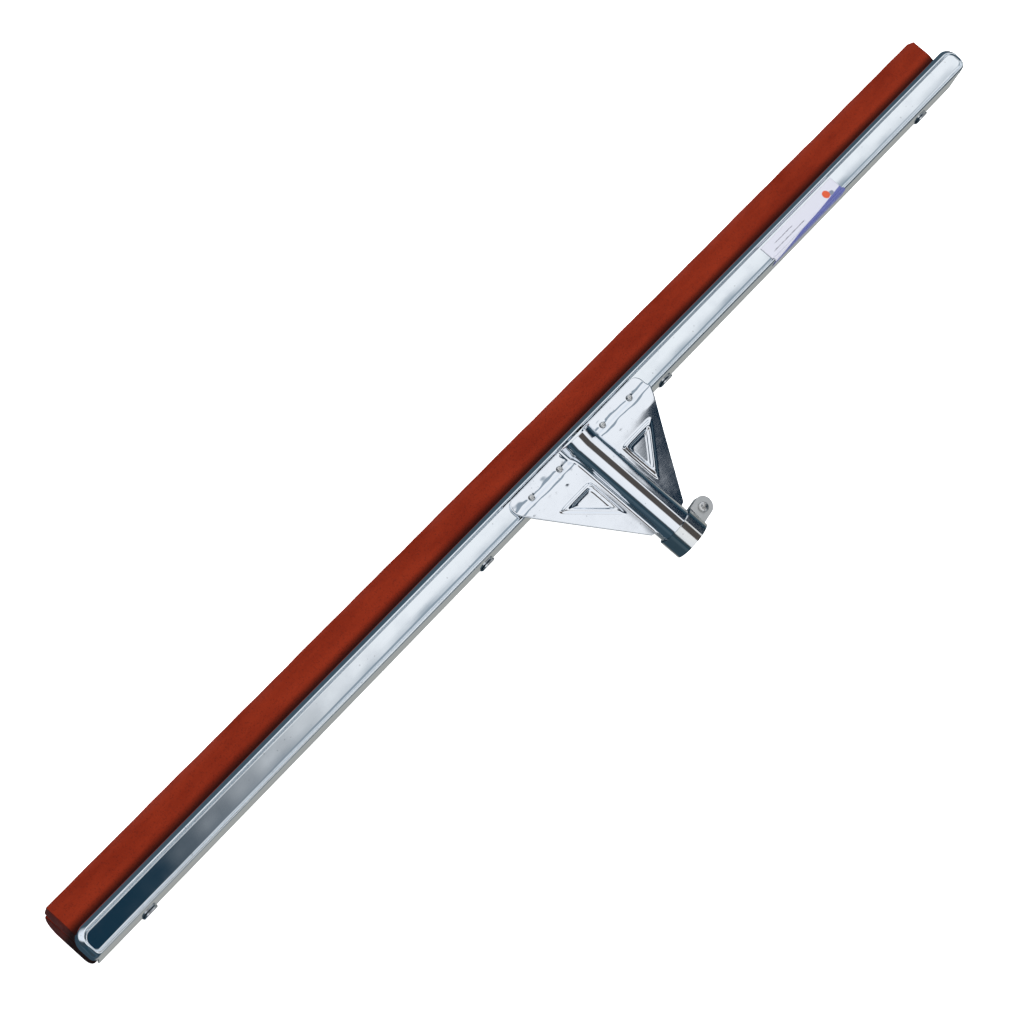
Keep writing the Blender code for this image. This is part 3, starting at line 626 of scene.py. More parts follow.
def foam_rubber(speckle):
    """Cellular rubber: open cells, cloudy red brown, dusty at the lip, with painted shade toward the
    shell's edge and on the end face that looks to -X.
    """
    made, tree, shader, place = new_material("foam_rubber")
    height_on_blade = axis_of(tree, place, "Y")
    facing = add_node(tree, "TexCoord").outputs["Normal"]
    cloud = noise(tree, stretched(tree, place, (0.3, 1, 1)), 70.0, 6.0, 0.6)
    grain = noise(tree, place, 1500.0, 3.0)
    cells = use_group(tree, speckle, {"Vector": place, "Scale": 820.0, "Size": 0.5})
    dust = step_of(tree, height_on_blade, LIP - DUST_ZONE[0], LIP - DUST_ZONE[1])
    dusty = product(tree, dust, step_of(tree, cloud, 0.35, 0.6))
    # painted shade: faces that look toward -X are darkened
    painted_end_shade = step_of(tree, axis_of(tree, facing, "X"), -0.5, -0.9)
    # painted shade: the rubber darkens toward the shell's edge, by its distance from the lip
    painted_shade_near_shell = step_of(tree, height_on_blade, LIP - PAINTED_SHADE_ZONE[0], LIP - PAINTED_SHADE_ZONE[1])
    colour = blend_colour(tree, step_of(tree, cloud, 0.3, 0.7), RUBBER_DEEP, RUBBER_PALE)
    colour = paint_over(tree, colour, cells.outputs["Pits"], 0.25, CELL_SHADE)
    colour = paint_over(tree, colour, step_of(tree, grain, 0.35, 0.75), 0.25, GRAIN_SHADE)
    colour = paint_over(tree, colour, dusty, 0.2, DUST_SHADE)
    colour = paint_over(tree, colour, painted_end_shade, 0.85, END_FACE_PAINTED_SHADE)
    colour = paint_over(tree, colour, painted_shade_near_shell, 0.93, SHELL_EDGE_PAINTED_SHADE)
    height = add_node(tree, "Math", {0: grain, 1: cells.outputs["Pits"]}, operation="SUBTRACT")
    feed(tree, shader, {"Base Color": colour, "Roughness": 0.88, "Specular IOR Level": 0.1,
                        "Normal": bumped(tree, height.outputs[0], 0.55, 0.25 * MM)})
    return made


def bright_plate(name, sheet, speckle, tint, stain, buckle_scale, buckle_depth, roughness, dull_from=1.0):
    """Bright plated sheet: slow buckles, rolling lines, smudges, a few pits.  It is dull beyond one X."""
    made, tree, shader, place = new_material(name)
    rolled = use_group(tree, sheet, {"Vector": place, "Buckle Scale": buckle_scale, "Line Share": 0.012})
    specks = use_group(tree, speckle, {"Vector": place, "Scale": 240.0, "Size": 0.16})
    colour = paint_over(tree, tint, rolled.outputs["Smudge"], 0.5, stain)
    colour = paint_over(tree, colour, specks.outputs["Pits"], 0.35, PLATE_PIT)
    worn = product(tree, rolled.outputs["Smudge"], 0.03)
    grainy = product(tree, rolled.outputs["Lines"], 0.03)
    beyond = step_of(tree, axis_of(tree, place, "X"), dull_from, dull_from + 1.5 * MM)
    dull = product(tree, beyond, 0.3)
    shine = total(tree, total(tree, worn, grainy), total(tree, dull, roughness))
    feed(tree, shader, {"Base Color": colour, "Metallic": 1.0, "Roughness": shine,
                        "Normal": bumped(tree, rolled.outputs["Height"], 1.0, buckle_depth)})
    return made


def zinc_steel(name, speckle, tint, roughness, speck_scale):
    """Zinc coated steel: small spangles of uneven tone and a satin grain."""
    made, tree, shader, place = new_material(name)
    specks = use_group(tree, speckle, {"Vector": place, "Scale": speck_scale, "Size": 0.35})
    grain = noise(tree, place, 420.0, 5.0, 0.65)
    darker = tuple(value * 0.62 for value in tint)
    colour = paint_over(tree, tint, specks.outputs["Tone"], 0.45, darker)
    colour = paint_over(tree, colour, specks.outputs["Pits"], 0.4, ZINC_PIT)
    rough = total(tree, product(tree, grain, 0.22), roughness)
    feed(tree, shader, {"Base Color": colour, "Metallic": 1.0, "Roughness": rough,
                        "Normal": bumped(tree, grain, 0.35, 0.08 * MM)})
    return made


def disc_mask(tree, place, centre, size, ragged):
    """1 inside a rounded patch on the label, 0 outside; its edge follows a noise a little."""
    moved = add_node(tree, "VectorMath", {0: place, 1: centre}, operation="SUBTRACT")
    scaled = add_node(tree, "VectorMath", {0: moved.outputs[0], 1: [1 / value for value in size]},
                      operation="MULTIPLY")
    length = add_node(tree, "VectorMath", {0: scaled.outputs[0]}, operation="LENGTH")
    edge = total(tree, length.outputs["Value"], product(tree, noise(tree, place, 9.0, 1.0), ragged))
    return step_of(tree, edge, 1.06 + ragged / 2, 0.94 + ragged / 2)


def between(tree, value, low, high, soft):
    """1 between the two values, with soft ends outside them."""
    return product(tree, step_of(tree, value, low - soft, low), step_of(tree, value, high + soft, high))


def label_paper():
    """Printed paper: lilac white, a blue band along the wall, a plain round mark, grey rules."""
    made, tree, shader, _ = new_material("label_paper")
    place = add_node(tree, "UVMap", uv_map="sheet").outputs["UV"]
    along, across = axis_of(tree, place, "X"), axis_of(tree, place, "Y")
    fibre = noise(tree, place, 60.0, 6.0)
    slope = total(tree, across, product(tree, along, LABEL_BAND_SLOPE))
    band = step_of(tree, slope, LABEL_BAND_EDGE, LABEL_BAND_EDGE + 0.08)
    broken = step_of(tree, noise(tree, place, 5.5, 1.0), 0.44, 0.5)
    colour = blend_colour(tree, fibre, PAPER_DULL, PAPER_CLEAN)
    colour = blend_colour(tree, band, colour, PRINT_BLUE)
    colour = blend_colour(tree, disc_mask(tree, place, *COOL_MARK), colour, PRINT_COOL)
    colour = blend_colour(tree, disc_mask(tree, place, *WARM_MARK), colour, PRINT_WARM)
    for low, high, start, end in LABEL_RULES:
        line = between(tree, across, low, high, 0.02)
        run = between(tree, along, start, end, 0.02)
        mark = product(tree, product(tree, line, run), broken)
        colour = paint_over(tree, colour, mark, 0.9, PRINT_RULE)
    rough = total(tree, product(tree, fibre, 0.2), 0.38)
    feed(tree, shader, {"Base Color": colour, "Roughness": rough,
                        "Normal": bumped(tree, fibre, 0.25, 0.05 * MM)})
    return made


def floor_paint():
    """Matt white that also shines by itself, so that it is evenly bright."""
    made, tree, shader, place = new_material("pale_floor")
    colour = blend_colour(tree, noise(tree, place, 1.5, 2.0), FLOOR_DULL, FLOOR_CLEAN)
    feed(tree, shader, {"Base Color": colour, "Roughness": 0.9, "Specular IOR Level": 0.1,
                        "Emission Color": (1, 1, 1, 1), "Emission Strength": 1.0})
    return made


# ---------------------------------------------------------------- blades

def lip_line(grid, far_end):
    """The lips stray a little along X, and their right-hand corner is rubbed round."""
    x = grid[..., 0]
    y = grid[..., 1]
    near_lip = smooth_step(y, LIP - LIP_ZONE, LIP)
    y -= LIP_WANDER * (1 + wander(x, 0.7)) / 2 * near_lip
    grid[..., 1] = np.minimum(y, LIP - corner_cut(far_end - x, RIGHT_CORNER))
    return grid


def blade_piece(name, node, outline, low, high, finish):
    """A blade from its outline of (distance from the lip, Z)."""
    outline = np.stack([LIP - outline[:, 0], outline[:, 1]], 1)
    grid = lip_line(bar_grid(outline, low.x, high.x, BLADE_EDGE, ROW_STEP), high.x)
    mesh = grid_mesh(name, grid, round_columns=True, caps=True)
    return add_piece(name, mesh, finish, "frame", [node], 50)


def front_blade(finish):
    """Front half of the double blade: a sharp lip, a sloped inner side, a dip under the shell."""
    front = BLADE_HIGH.z
    inner = BLADE_LOW.z
    pinch = front - PINCH_DEPTH
    reveal = LIP - SHELL_HIGH_CORNER.y
    depth = BLADE_HIGH.y - BLADE_LOW.y
    corners = [
        (0, front), (0, inner + LIP_SLOT_WIDTH / 2), (LIP_SLOT_DEPTH, inner), (SPACER_NEAR, inner),
        (SPACER_NEAR, inner + SPACER_SEAT), (depth, inner + SPACER_SEAT), (depth, pinch),
        (reveal, pinch), (reveal - PINCH_LENGTH / 2, pinch + PINCH_DEPTH * 0.45),
        (reveal - PINCH_LENGTH, front),
    ]
    reach = np.array([0.6, 0.6, 2, 0.3, 0.3, 0.5, 0.5, 1.2, 2, 3]) * MM
    outline = refine(soften(corners, reach, 6), OUTLINE_STEP)
    return blade_piece("foam_front", "front_blade", outline, BLADE_LOW, BLADE_HIGH, finish)


def back_blade(finish):
    """Back half: its lip and its heel are well rounded."""
    middle = BACK_HIGH.z
    back = BACK_LOW.z
    depth = LIP - BACK_LOW.y
    lip_z, lip_y = BACK_LIP_ROUND
    heel_z, heel_y = BACK_HEEL_ROUND
    lip_z = min(lip_z, middle - back - LIP_SLOT_WIDTH / 2 - PLATE_GAP)
    turn = np.radians(np.linspace(180, 270, 16))
    lip_arc = np.stack([LIP_STEP + lip_y + lip_y * np.cos(turn), back + lip_z + lip_z * np.sin(turn)], 1)
    turn = np.radians(np.linspace(270, 360, 12))
    heel_z = min(heel_z, middle - back - SPACER_SEAT - PLATE_GAP)
    heel_arc = np.stack([depth - heel_y + heel_y * np.cos(turn), back + heel_z + heel_z * np.sin(turn)], 1)
    corners = [
        (depth, middle - SPACER_SEAT), (SPACER_NEAR, middle - SPACER_SEAT), (SPACER_NEAR, middle),
        (LIP_SLOT_DEPTH, middle), (LIP_STEP, middle - LIP_SLOT_WIDTH / 2),
    ]
    reach = np.array([0.5, 0.3, 0.3, 2, 0.8]) * MM
    outline = np.vstack([corners, lip_arc, heel_arc])
    reach = np.concatenate([reach, np.full(len(lip_arc) + len(heel_arc), 0.3 * MM)])
    outline = refine(soften(outline, reach, 3), OUTLINE_STEP)
    return blade_piece("foam_back", "back_blade", outline, BACK_LOW, BACK_HIGH, finish)


# ---------------------------------------------------------------- shell

def pan_side(half, left, right, level, toward):
    """One long side of the pan's outline, with a quarter circle at each end.

    The left corner of radius c is x = -half + c (1 - cos a), b = level + toward c (1 - sin a),
    a from 0 to 90 degrees; the right one mirrors it.
    """
    turn = np.linspace(0, math.pi / 2, PAN_CORNER_POINTS)
    steps = np.array(PAN_END_STEPS) * MM
    start = left - half
    end = half - right
    middle = np.linspace(start + PAN_MIDDLE_START, end - PAN_MIDDLE_START, PAN_MIDDLE_POINTS)
    straight = np.concatenate([start + steps, middle, end - steps[::-1]])
    side_x = np.concatenate([-half + left * (1 - np.cos(turn)), straight,
                             (half - right * (1 - np.cos(turn)))[::-1]])
    side_b = np.concatenate([level + toward * left * (1 - np.sin(turn)), np.full(len(straight), level),
                             (level + toward * right * (1 - np.sin(turn)))[::-1]])
    return side_x, side_b


def pan_sides(inset, near, far, height_near, height_far):
    """The lip side and the wall side of a line round the pan, both from left to right."""
    half = SHELL_HIGH_CORNER.x - inset * END_SHARE
    width = far - near
    near_x, near_b = pan_side(half, width * NEAR_ROUND, width * NEAR_ROUND, near, 1)
    far_x, far_b = pan_side(half, width * LEFT_ROUND, width * RIGHT_ROUND, far, -1)
    to_corner = np.minimum(far_x + half - width * LEFT_ROUND, half - width * RIGHT_ROUND - far_x)
    first = np.stack([near_x, LIP - near_b, np.full(len(near_x), height_near)], 1)
    second = np.stack([far_x, LIP - far_b, height_far(to_corner)], 1)
    return first, second


def pan_loop(first, second):
    """The closed line: along the lip side, across the right end, back, across the left end."""
    share = np.linspace(0, 1, PANEL_ROWS)[1:-1, None]
    right = first[-1] * (1 - share) + second[-1] * share
    left = first[0] * share + second[0] * (1 - share)
    return np.vstack([first, right, second[::-1], left])


def front_shell(finish):
    """Pressed pan: flared edge, leaning skirt, rounded beads, a sunk panel and a deep back wall.

    Up the skirt a line moves in by flare (1 - exp(-rise / flare height)), and past the knee by
    s log(1 + exp((share - knee) / s)), a soft bend.  The bead is an arc of the shoulder's radius.
    The slope falls by recess (1 - cos(pi share)) / 2.
    """
    reveal = LIP - SHELL_HIGH_CORNER.y
    wall = LIP - SHELL_LOW_CORNER.y
    top = SHELL_HIGH_CORNER.z
    edge = top - SHELL_RISE
    wall_low = SHELL_LOW_CORNER.z
    wall_top = top - SHOULDER_ROUND
    skirt_top = top - SHOULDER_ROUND * (1 - math.sin(BEAD_START))
    lines = []

    def level_at(height):
        return lambda to_corner: np.full(len(to_corner), height)

    def wall_edge(share):
        """Height of a skirt line: the wall's free edge is low, and rises to the skirt at its ends."""
        def height(to_corner):
            low = edge + (wall_low - edge) * smooth_step(to_corner, 0, WALL_END_STEP)
            return low + (wall_top - low) * share
        return height

    for share in SKIRT_SHARES:
        rise = (skirt_top - edge) * share
        flare = EDGE_FLARE * (1 - math.exp(-rise / EDGE_FLARE_HEIGHT))
        knee = KNEE_SOFTNESS * math.log(1 + math.exp((share - SKIRT_KNEE) / KNEE_SOFTNESS))
        inset = flare + (SKIRT_LEAN - EDGE_FLARE) * knee / (1 - SKIRT_KNEE)
        lines.append(pan_sides(inset, reveal + inset, wall, edge + rise, wall_edge(share)))
    for share in BEAD_SHARES:
        turn = BEAD_START + (math.pi / 2 - BEAD_START) * share
        wall_turn = math.pi / 2 * share
        inset = SKIRT_LEAN + SHOULDER_ROUND * (math.cos(BEAD_START) - math.cos(turn))
        back = SHOULDER_ROUND * (1 - math.cos(wall_turn))
        height = top - SHOULDER_ROUND * (1 - math.sin(turn))
        wall_height = top - SHOULDER_ROUND * (1 - math.sin(wall_turn))
        lines.append(pan_sides(inset, reveal + inset, wall - back, height, level_at(wall_height)))
    bead_end = SKIRT_LEAN + SHOULDER_ROUND * math.cos(BEAD_START)
    for share in SLOPE_SHARES:
        inset = bead_end + (PANEL_EDGE - bead_end) * share
        back = SHOULDER_ROUND + (PANEL_BACK - SHOULDER_ROUND) * share
        height = top - PANEL_RECESS * (1 - math.cos(math.pi * share)) / 2
        lines.append(pan_sides(inset, reveal + inset, wall - back, height, level_at(height)))
    rows = np.stack([pan_loop(first, second) for first, second in lines])
    first, second = lines[-1]
    share = np.linspace(0, 1, PANEL_ROWS)[:, None, None]
    panel = first[None] * (1 - share) + second[None] * share
    inside = smooth_step(SHELL_HIGH_CORNER.x - PANEL_EDGE - np.abs(panel[..., 0]), 0, PANEL_SAG_START)
    sag = np.sin(math.pi * share[..., 0]) * (0.5 + 0.5 * wander(panel[..., 0], 2.0)) * inside
    panel[..., 2] -= PANEL_SAG * sag
    sources = [grid_mesh("skirt", rows, round_columns=True), grid_mesh("panel", panel[:, ::-1])]
    mesh = weld_into(bpy.data.meshes.new("pressed_shell"), sources, 2 * WELD)
    piece = add_piece("pressed_shell", mesh, finish, "frame", ["front_shell"], 60)
    give_wall(piece, SHELL_SHEET)
    return piece


# ---------------------------------------------------------------- bracket

def flat_level(place, over_flange):
    """Height of the flat wings over the tube axis, from the flange's near edge to the tube's end.

    The line runs along the sunk panel, steps up over the far bead and bends back at the wings.
    """
    if not over_flange:
        return np.full(len(place), WING_FACE)
    inverse = SOCKET.inverted()
    top = SHELL_HIGH_CORNER.z
    panel = top - PANEL_RECESS + PLATE_GAP + BRACKET_SHEET
    bead = top + PLATE_GAP + BRACKET_SHEET
    far = LIP - SHELL_LOW_CORNER.y - PANEL_BACK
    near = LIP - SHELL_HIGH_CORNER.y + PANEL_EDGE + PLATE_GAP
    corners = [(near, panel), (far - JOGGLE_START, panel), (far, bead)]
    local = [inverse @ Vector((0, LIP - from_lip, height)) for from_lip, height in corners]
    line = np.array([(-point.y, point.z) for point in local] + [(0, WING_FACE), (TUBE_END, WING_FACE)])
    line[0, 0] -= 1 * MM
    reach = np.array([0, JOGGLE_REACH, JOGGLE_REACH, BEND_REACH, 0])
    smooth_line = soften(line, np.maximum(reach, 0.01 * MM), 12, closed=False)
    return np.interp(place, smooth_line[:, 0], smooth_line[:, 1])


def rib_height(side, place):
    """Raised bead round a three-sided field that is itself sunk.

    d is the distance to the triangle's border, negative inside: the soft maximum, s log(sum exp(d/s)),
    of the distances to its three sides.  The bead is exp(-(d / half width)^4), and the field sinks
    from 0.6 to 2 half widths inside the border.
    """
    inner = RIB_INNER - side
    upper = RIB_TOP - place
    across = RIB_OUTER - RIB_INNER
    slant = ((side - RIB_OUTER) * RIB_LENGTH + (place - RIB_TOP) * across) / math.hypot(across, RIB_LENGTH)
    distances = np.stack([inner, upper, slant])
    distance = RIB_SOFTNESS * np.log(np.exp(np.clip(distances / RIB_SOFTNESS, -60, 60)).sum(0))
    bead = RIB_HEIGHT * np.exp(-(distance / RIB_HALF_WIDTH) ** 4)
    field = RIB_SINK * smooth_step(-distance, RIB_HALF_WIDTH * 0.6, RIB_HALF_WIDTH * 2.0)
    return bead - field


def rivet_spots():
    """(side, place) of each rivet on the flange."""
    inverse = SOCKET.inverted()
    spots = []
    for number in RIVETS:
        low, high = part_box("flange_rivet_%d" % number)
        local = inverse @ ((low + high) / 2)
        spots.append((local.x, -local.y))
    return spots


def half_plate(over_flange, inset):
    """Half of a bracket plate on the socket's axes: side, place and height of each grid point.

    A row is a flat wing, a fillet of radius F whose centre lies R + F from the tube axis, and the
    round of radius R up to the top.  The outer edge is the soft minimum of the flange's end and the
    wing's slant, -s log(exp(-a / s) + exp(-b / s)), and the wings bow back by the square of the side.
    """
    spots = rivet_spots()
    if over_flange:
        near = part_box("bracket_front_plate")[1]
        first = -(SOCKET.inverted() @ Vector((0, near.y, SHELL_HIGH_CORNER.z))).y
        flange = np.linspace(first, 0, FLANGE_ROWS)[:-1]
    else:
        first = BACK_START
        flange = np.empty(0)
    wings = np.linspace(max(first, 0), WING_LENGTH, WING_ROWS)
    tube = np.linspace(WING_LENGTH, TUBE_END, TUBE_ROWS)[1:]
    place = np.concatenate([flange, wings, tube])
    level = flat_level(place, over_flange)
    fade = smooth_step(place, WING_LENGTH - TIP_FADE, WING_LENGTH + TIP_FADE)
    fillet = WING_FILLET * (1 - fade) + TUBE_LIP * fade
    centre = np.sqrt((SOCKET_RADIUS + fillet) ** 2 - (level + fillet) ** 2)
    taper = (WING_TOP_HALF - WING_TIP_HALF) / WING_LENGTH
    slope_edge = WING_TOP_HALF - inset - taper * place
    flange_edge = FLANGE_HALF - inset
    edge = -EDGE_BLEND * np.log(np.exp(-slope_edge / EDGE_BLEND) + np.exp(-flange_edge / EDGE_BLEND))
    if over_flange:
        edge -= corner_cut(place - first, FLANGE_CORNER)
    tip = smooth_step(place, WING_LENGTH - TIP_START, WING_LENGTH + TIP_END)
    edge = edge * (1 - tip) + (centre + TUBE_LIP) * tip
    edge = np.maximum(edge, centre + TUBE_LIP)
    share = np.linspace(0, 1, WING_COLUMNS)[None]
    wing_side = edge[:, None] * (1 - share) + centre[:, None] * share
    wing_up = np.repeat(level[:, None], share.shape[1], 1)
    foot = np.arctan2(level + fillet, centre)
    turn = np.linspace(0, 1, FILLET_COLUMNS)[None, 1:]
    angle = 1.5 * math.pi + (math.pi + foot[:, None] - 1.5 * math.pi) * turn
    fillet_side = centre[:, None] + fillet[:, None] * np.cos(angle)
    fillet_up = (level + fillet)[:, None] + fillet[:, None] * np.sin(angle)
    turn = np.linspace(0, 1, ROUND_COLUMNS)[None, 1:]
    angle = foot[:, None] + (math.pi / 2 - foot[:, None]) * turn
    round_side = SOCKET_RADIUS * np.cos(angle)
    round_up = SOCKET_RADIUS * np.sin(angle)
    side = np.hstack([wing_side, fillet_side, round_side])
    up = np.hstack([wing_up, fillet_up, round_up])
    along = np.repeat(place[:, None], side.shape[1], 1)
    outward = smooth_step(side, centre[:, None], centre[:, None] + RELIEF_START)
    on_wing = smooth_step(along, 0, RELIEF_START)
    if over_flange:
        up = up + rib_height(side, along) * outward * on_wing
    bow = WING_BOW * ((side - SOCKET_RADIUS) / (WING_TOP_HALF - SOCKET_RADIUS)) ** 2
    up = up - bow * outward * smooth_step(along, 0, BOW_RUN)
    return side, along, up, outward * (1 - on_wing), spots


def plate_grid(over_flange, inset, turned_over):
    """Both halves of a plate, with the dents round its rivets and the flange's slow buckles.

    A dent is exp(-(distance / radius)^2), with a faint ripple; a buckle is the sum of two waves.
    """
    side, along, up, on_flange, spots = half_plate(over_flange, inset)
    side = np.hstack([side, -side[:, -2::-1]])
    along, up, on_flange = (np.hstack([half, half[:, -2::-1]]) for half in (along, up, on_flange))
    if over_flange:
        dents = np.zeros_like(up)
        for spot_side, spot_place in spots:
            far = np.hypot((side - spot_side) * DENT_OVAL, along - spot_place)
            dents += np.exp(-(far / DENT_RADIUS) ** 2) * (1 + DENT_RIPPLE * np.cos(far / MM))
        waves = wander(side * 2.3 + along * 1.7, 1.3) + wander(side * 0.9 - along * 3.1, 2.6)
        up = up + on_flange * (BUCKLE * waves - DENT_DEPTH * dents)
    if turned_over:
        up = -up
    grid = placed(np.stack([side + lean(along), -along, up], -1), SOCKET)
    return grid if turned_over else grid[:, ::-1]


def bracket_plate(name, node, finish, over_flange, inset, turned_over):
    """The front plate with its flange, or the back plate, drawn in and turned over."""
    mesh = grid_mesh(name, plate_grid(over_flange, inset, turned_over))
    mesh.flip_normals()
    piece = add_piece(name, mesh, finish, "frame", [node], 60)
    give_wall(piece, BRACKET_SHEET)
    return piece


def rivets(finish):
    """Four set rivets: a low dome with a flat rim, a shank and a spread tail."""
    for number in RIVETS:
        node = "flange_rivet_%d" % number
        low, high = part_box(node)
        centre = (low + high) / 2
        radius = (high.x - low.x) / 2
        height = high.z - low.z
        turn = np.radians(np.linspace(90, 8, 10))
        dome_side = radius * RIVET_DOME_SHARE * np.cos(turn)
        dome = np.stack([dome_side, height - RIVET_DOME + RIVET_DOME * np.sin(turn)], 1)
        dome[:3, 1] -= np.array(RIVET_DIMPLE) * MM
        shank = radius * RIVET_SHANK_SHARE
        rim_low = height - RIVET_RIM_LOW
        rim = [(radius, height - RIVET_RIM_TOP), (radius, rim_low), (shank, rim_low)]
        tail = [(shank, RIVET_TAIL), (radius * 0.88, RIVET_TAIL - 0.05 * MM), (radius * 0.9, 0.2 * MM),
                (radius * 0.8, 0), (0, 0)]
        profile = np.vstack([dome, rim, tail])
        grid = turned_grid(profile, ROUND_SEGMENTS, Matrix.Translation((centre.x, centre.y, low.z)))
        mesh = grid_mesh("rivet_%d" % number, grid, round_columns=True, weld=True)
        add_piece("rivet_%d" % number, mesh, finish, "frame", [node], 50)


# ---------------------------------------------------------------- clamp

def band_path():
    """Middle line of the band: out along one ear, round the tube, back along the other ear."""
    radius = BAND_RADIUS + BAND_SHEET / 2
    ear = EAR_GAP / 2 + BAND_SHEET / 2
    opening = math.asin(ear / radius)
    turn = np.linspace(opening, math.tau - opening, RING_POINTS)
    ring = np.stack([radius * np.cos(turn), radius * np.sin(turn)], 1)
    line = np.vstack([[(EAR_REACH, ear)], ring, [(EAR_REACH, -ear)]])
    reach = np.full(len(line), 0.4 * MM)
    reach[[1, -2]] = EAR_BEND
    return refine(soften(line, reach, 3, closed=False), BAND_STEP, closed=False)


def clamp_band(finish):
    """A strip along the band's path; its width rounds off at the ears' ends."""
    path = band_path()
    out = path[:, 0] - (EAR_REACH - EAR_HALF_HEIGHT)
    half = BAND_LENGTH / 2 + (EAR_HALF_HEIGHT - BAND_LENGTH / 2) * smooth_step(path[:, 0], *EAR_ROOT)
    end = np.sqrt(np.maximum(EAR_HALF_HEIGHT ** 2 - np.clip(out, 0, None) ** 2, EAR_END ** 2))
    half = np.where(out > 0, end, half)
    share = np.linspace(-1, 1, BAND_COLUMNS)
    local = points(path[:, :1], half[:, None] * share, path[:, 1:])
    sheet = walled(grid_mesh("clamp_strip", placed(local, BAND_CENTRE)), BAND_SHEET, 0)
    radius = SCREW_RADIUS + HOLE_ROOM
    drill = [(0, -DRILL_REACH), (radius, -DRILL_REACH), (radius, DRILL_REACH), (0, DRILL_REACH)]
    hole = turned_grid(drill, ROUND_SEGMENTS, SCREW_AXIS)
    mesh = cut_away(sheet, grid_mesh("hole", hole, round_columns=True, weld=True))
    return add_piece("clamp_strip", mesh, finish, "clamp", ["clamp_band"], 40)


def screw_piece(finish):
    """Round head with a slot, a short plain shank and a cut thread.

    On the thread the radius falls by its depth times a triangle wave of height / pitch + angle.
    """
    seat = EAR_GAP / 2 + BAND_SHEET + PLATE_GAP
    turn = np.radians(np.linspace(90, 0, 12))
    rise = HEAD_RIM_SHARE + (1 - HEAD_RIM_SHARE) * np.sin(turn)
    head = np.stack([HEAD_RADIUS * np.cos(turn), seat + HEAD_HEIGHT * rise], 1)
    rim = [(HEAD_RADIUS, seat + HEAD_CHAMFER), (HEAD_RADIUS - HEAD_CHAMFER, seat), (SCREW_RADIUS, seat)]
    end = -seat - WASHER_HEIGHT - PLATE_GAP - SCREW_PAST_NUT
    turns = np.linspace(-THREAD_START, end + SCREW_CHAMFER, THREAD_ROWS)
    shank = np.stack([np.full(THREAD_ROWS, SCREW_RADIUS), turns], 1)
    tail = [(SCREW_RADIUS - SCREW_END_STEP, end), (0, end)]
    profile = np.vstack([head, rim, shank, tail])
    local = turned_grid(profile, ROUND_SEGMENTS, Matrix.Identity(4))
    angle = np.arange(ROUND_SEGMENTS) / ROUND_SEGMENTS
    wave = np.abs(((profile[:, 1:] / THREAD_PITCH + angle) % 1) * 2 - 1)
    threaded = smooth_step(-profile[:, 1], THREAD_START, THREAD_FULL)[:, None]
    shrink = 1 - THREAD_DEPTH / SCREW_RADIUS * wave * threaded
    on_shank = (profile[:, :1] >= SCREW_RADIUS * 0.9) & (profile[:, 1:] < 0)
    local[..., :2] *= np.where(on_shank, shrink, 1)[..., None]
    screw = grid_mesh("screw", placed(local, SCREW_AXIS), round_columns=True, weld=True)
    half = HEAD_SLOT / 2
    low = seat + HEAD_HEIGHT - HEAD_SLOT_DEPTH
    high = seat + HEAD_HEIGHT + 1 * MM
    slot_outline = [(-half, low), (half, low), (half, high), (-half, high)]
    slot_grid = bar_grid(slot_outline, -2 * HEAD_RADIUS, 2 * HEAD_RADIUS, 0.01 * MM, HEAD_RADIUS)
    turn_slot = Matrix.Rotation(SLOT_TURN, 4, "Z")
    slot = grid_mesh("slot", placed(slot_grid, SCREW_AXIS @ turn_slot), round_columns=True, caps=True)
    return add_piece("slotted_screw", cut_away(screw, slot), finish, "screw",
                     ["clamp_screw"], 40)


def ring_piece(name, node, body, finish, outer, low, high, flats):
    """A washer, or a six-sided nut whose corners are cut by a cone.

    The nut's radius at angle a is the flats' half width over cos of a's distance to the nearest
    flat's middle, and no more than the cone's radius at that height.
    """
    hole = SCREW_RADIUS + RING_ROOM
    soft = NUT_EDGE if flats else WASHER_EDGE
    corners = [(hole, low), (outer, low), (outer, high), (hole, high)]
    section = soften(corners, [RING_HOLE_EDGE, soft, soft, RING_HOLE_EDGE], 5)
    section = refine(section, RING_STEP)
    local = turned_grid(section, RING_SEGMENTS, Matrix.Identity(4))
    if flats:
        angle = np.arange(RING_SEGMENTS) * math.tau / RING_SEGMENTS
        sixth = math.pi / 3
        flat_radius = flats / 2 / np.cos((angle % sixth) - sixth / 2)
        share = ((section[:, :1] - hole) / (outer - hole)).clip(0, 1)
        radius = np.minimum(flat_radius[None] * share + hole * (1 - share), section[:, :1])
        ratio = radius / section[:, :1]
        local[..., :2] *= ratio[..., None]
    mesh = grid_mesh(name, placed(local, SCREW_AXIS), round_rows=True, round_columns=True, weld=True)
    return add_piece(name, mesh, finish, body, [node], 30)


def washer_and_nut(finish):
    """The washer lies against the lower ear, and the nut under the washer."""
    washer_top = -(EAR_GAP / 2 + BAND_SHEET + PLATE_GAP)
    washer_low = washer_top - WASHER_HEIGHT
    nut_top = washer_low - PLATE_GAP
    ring_piece("washer", "clamp_washer", "clamp", finish, WASHER_RADIUS, washer_low, washer_top, 0)
    corner = NUT_FLATS / 2 / math.cos(math.pi / 6)
    ring_piece("hex_nut", "clamp_nut", "nut", finish, corner, nut_top - NUT_HEIGHT, nut_top, NUT_FLATS)


# ---------------------------------------------------------------- back of the frame

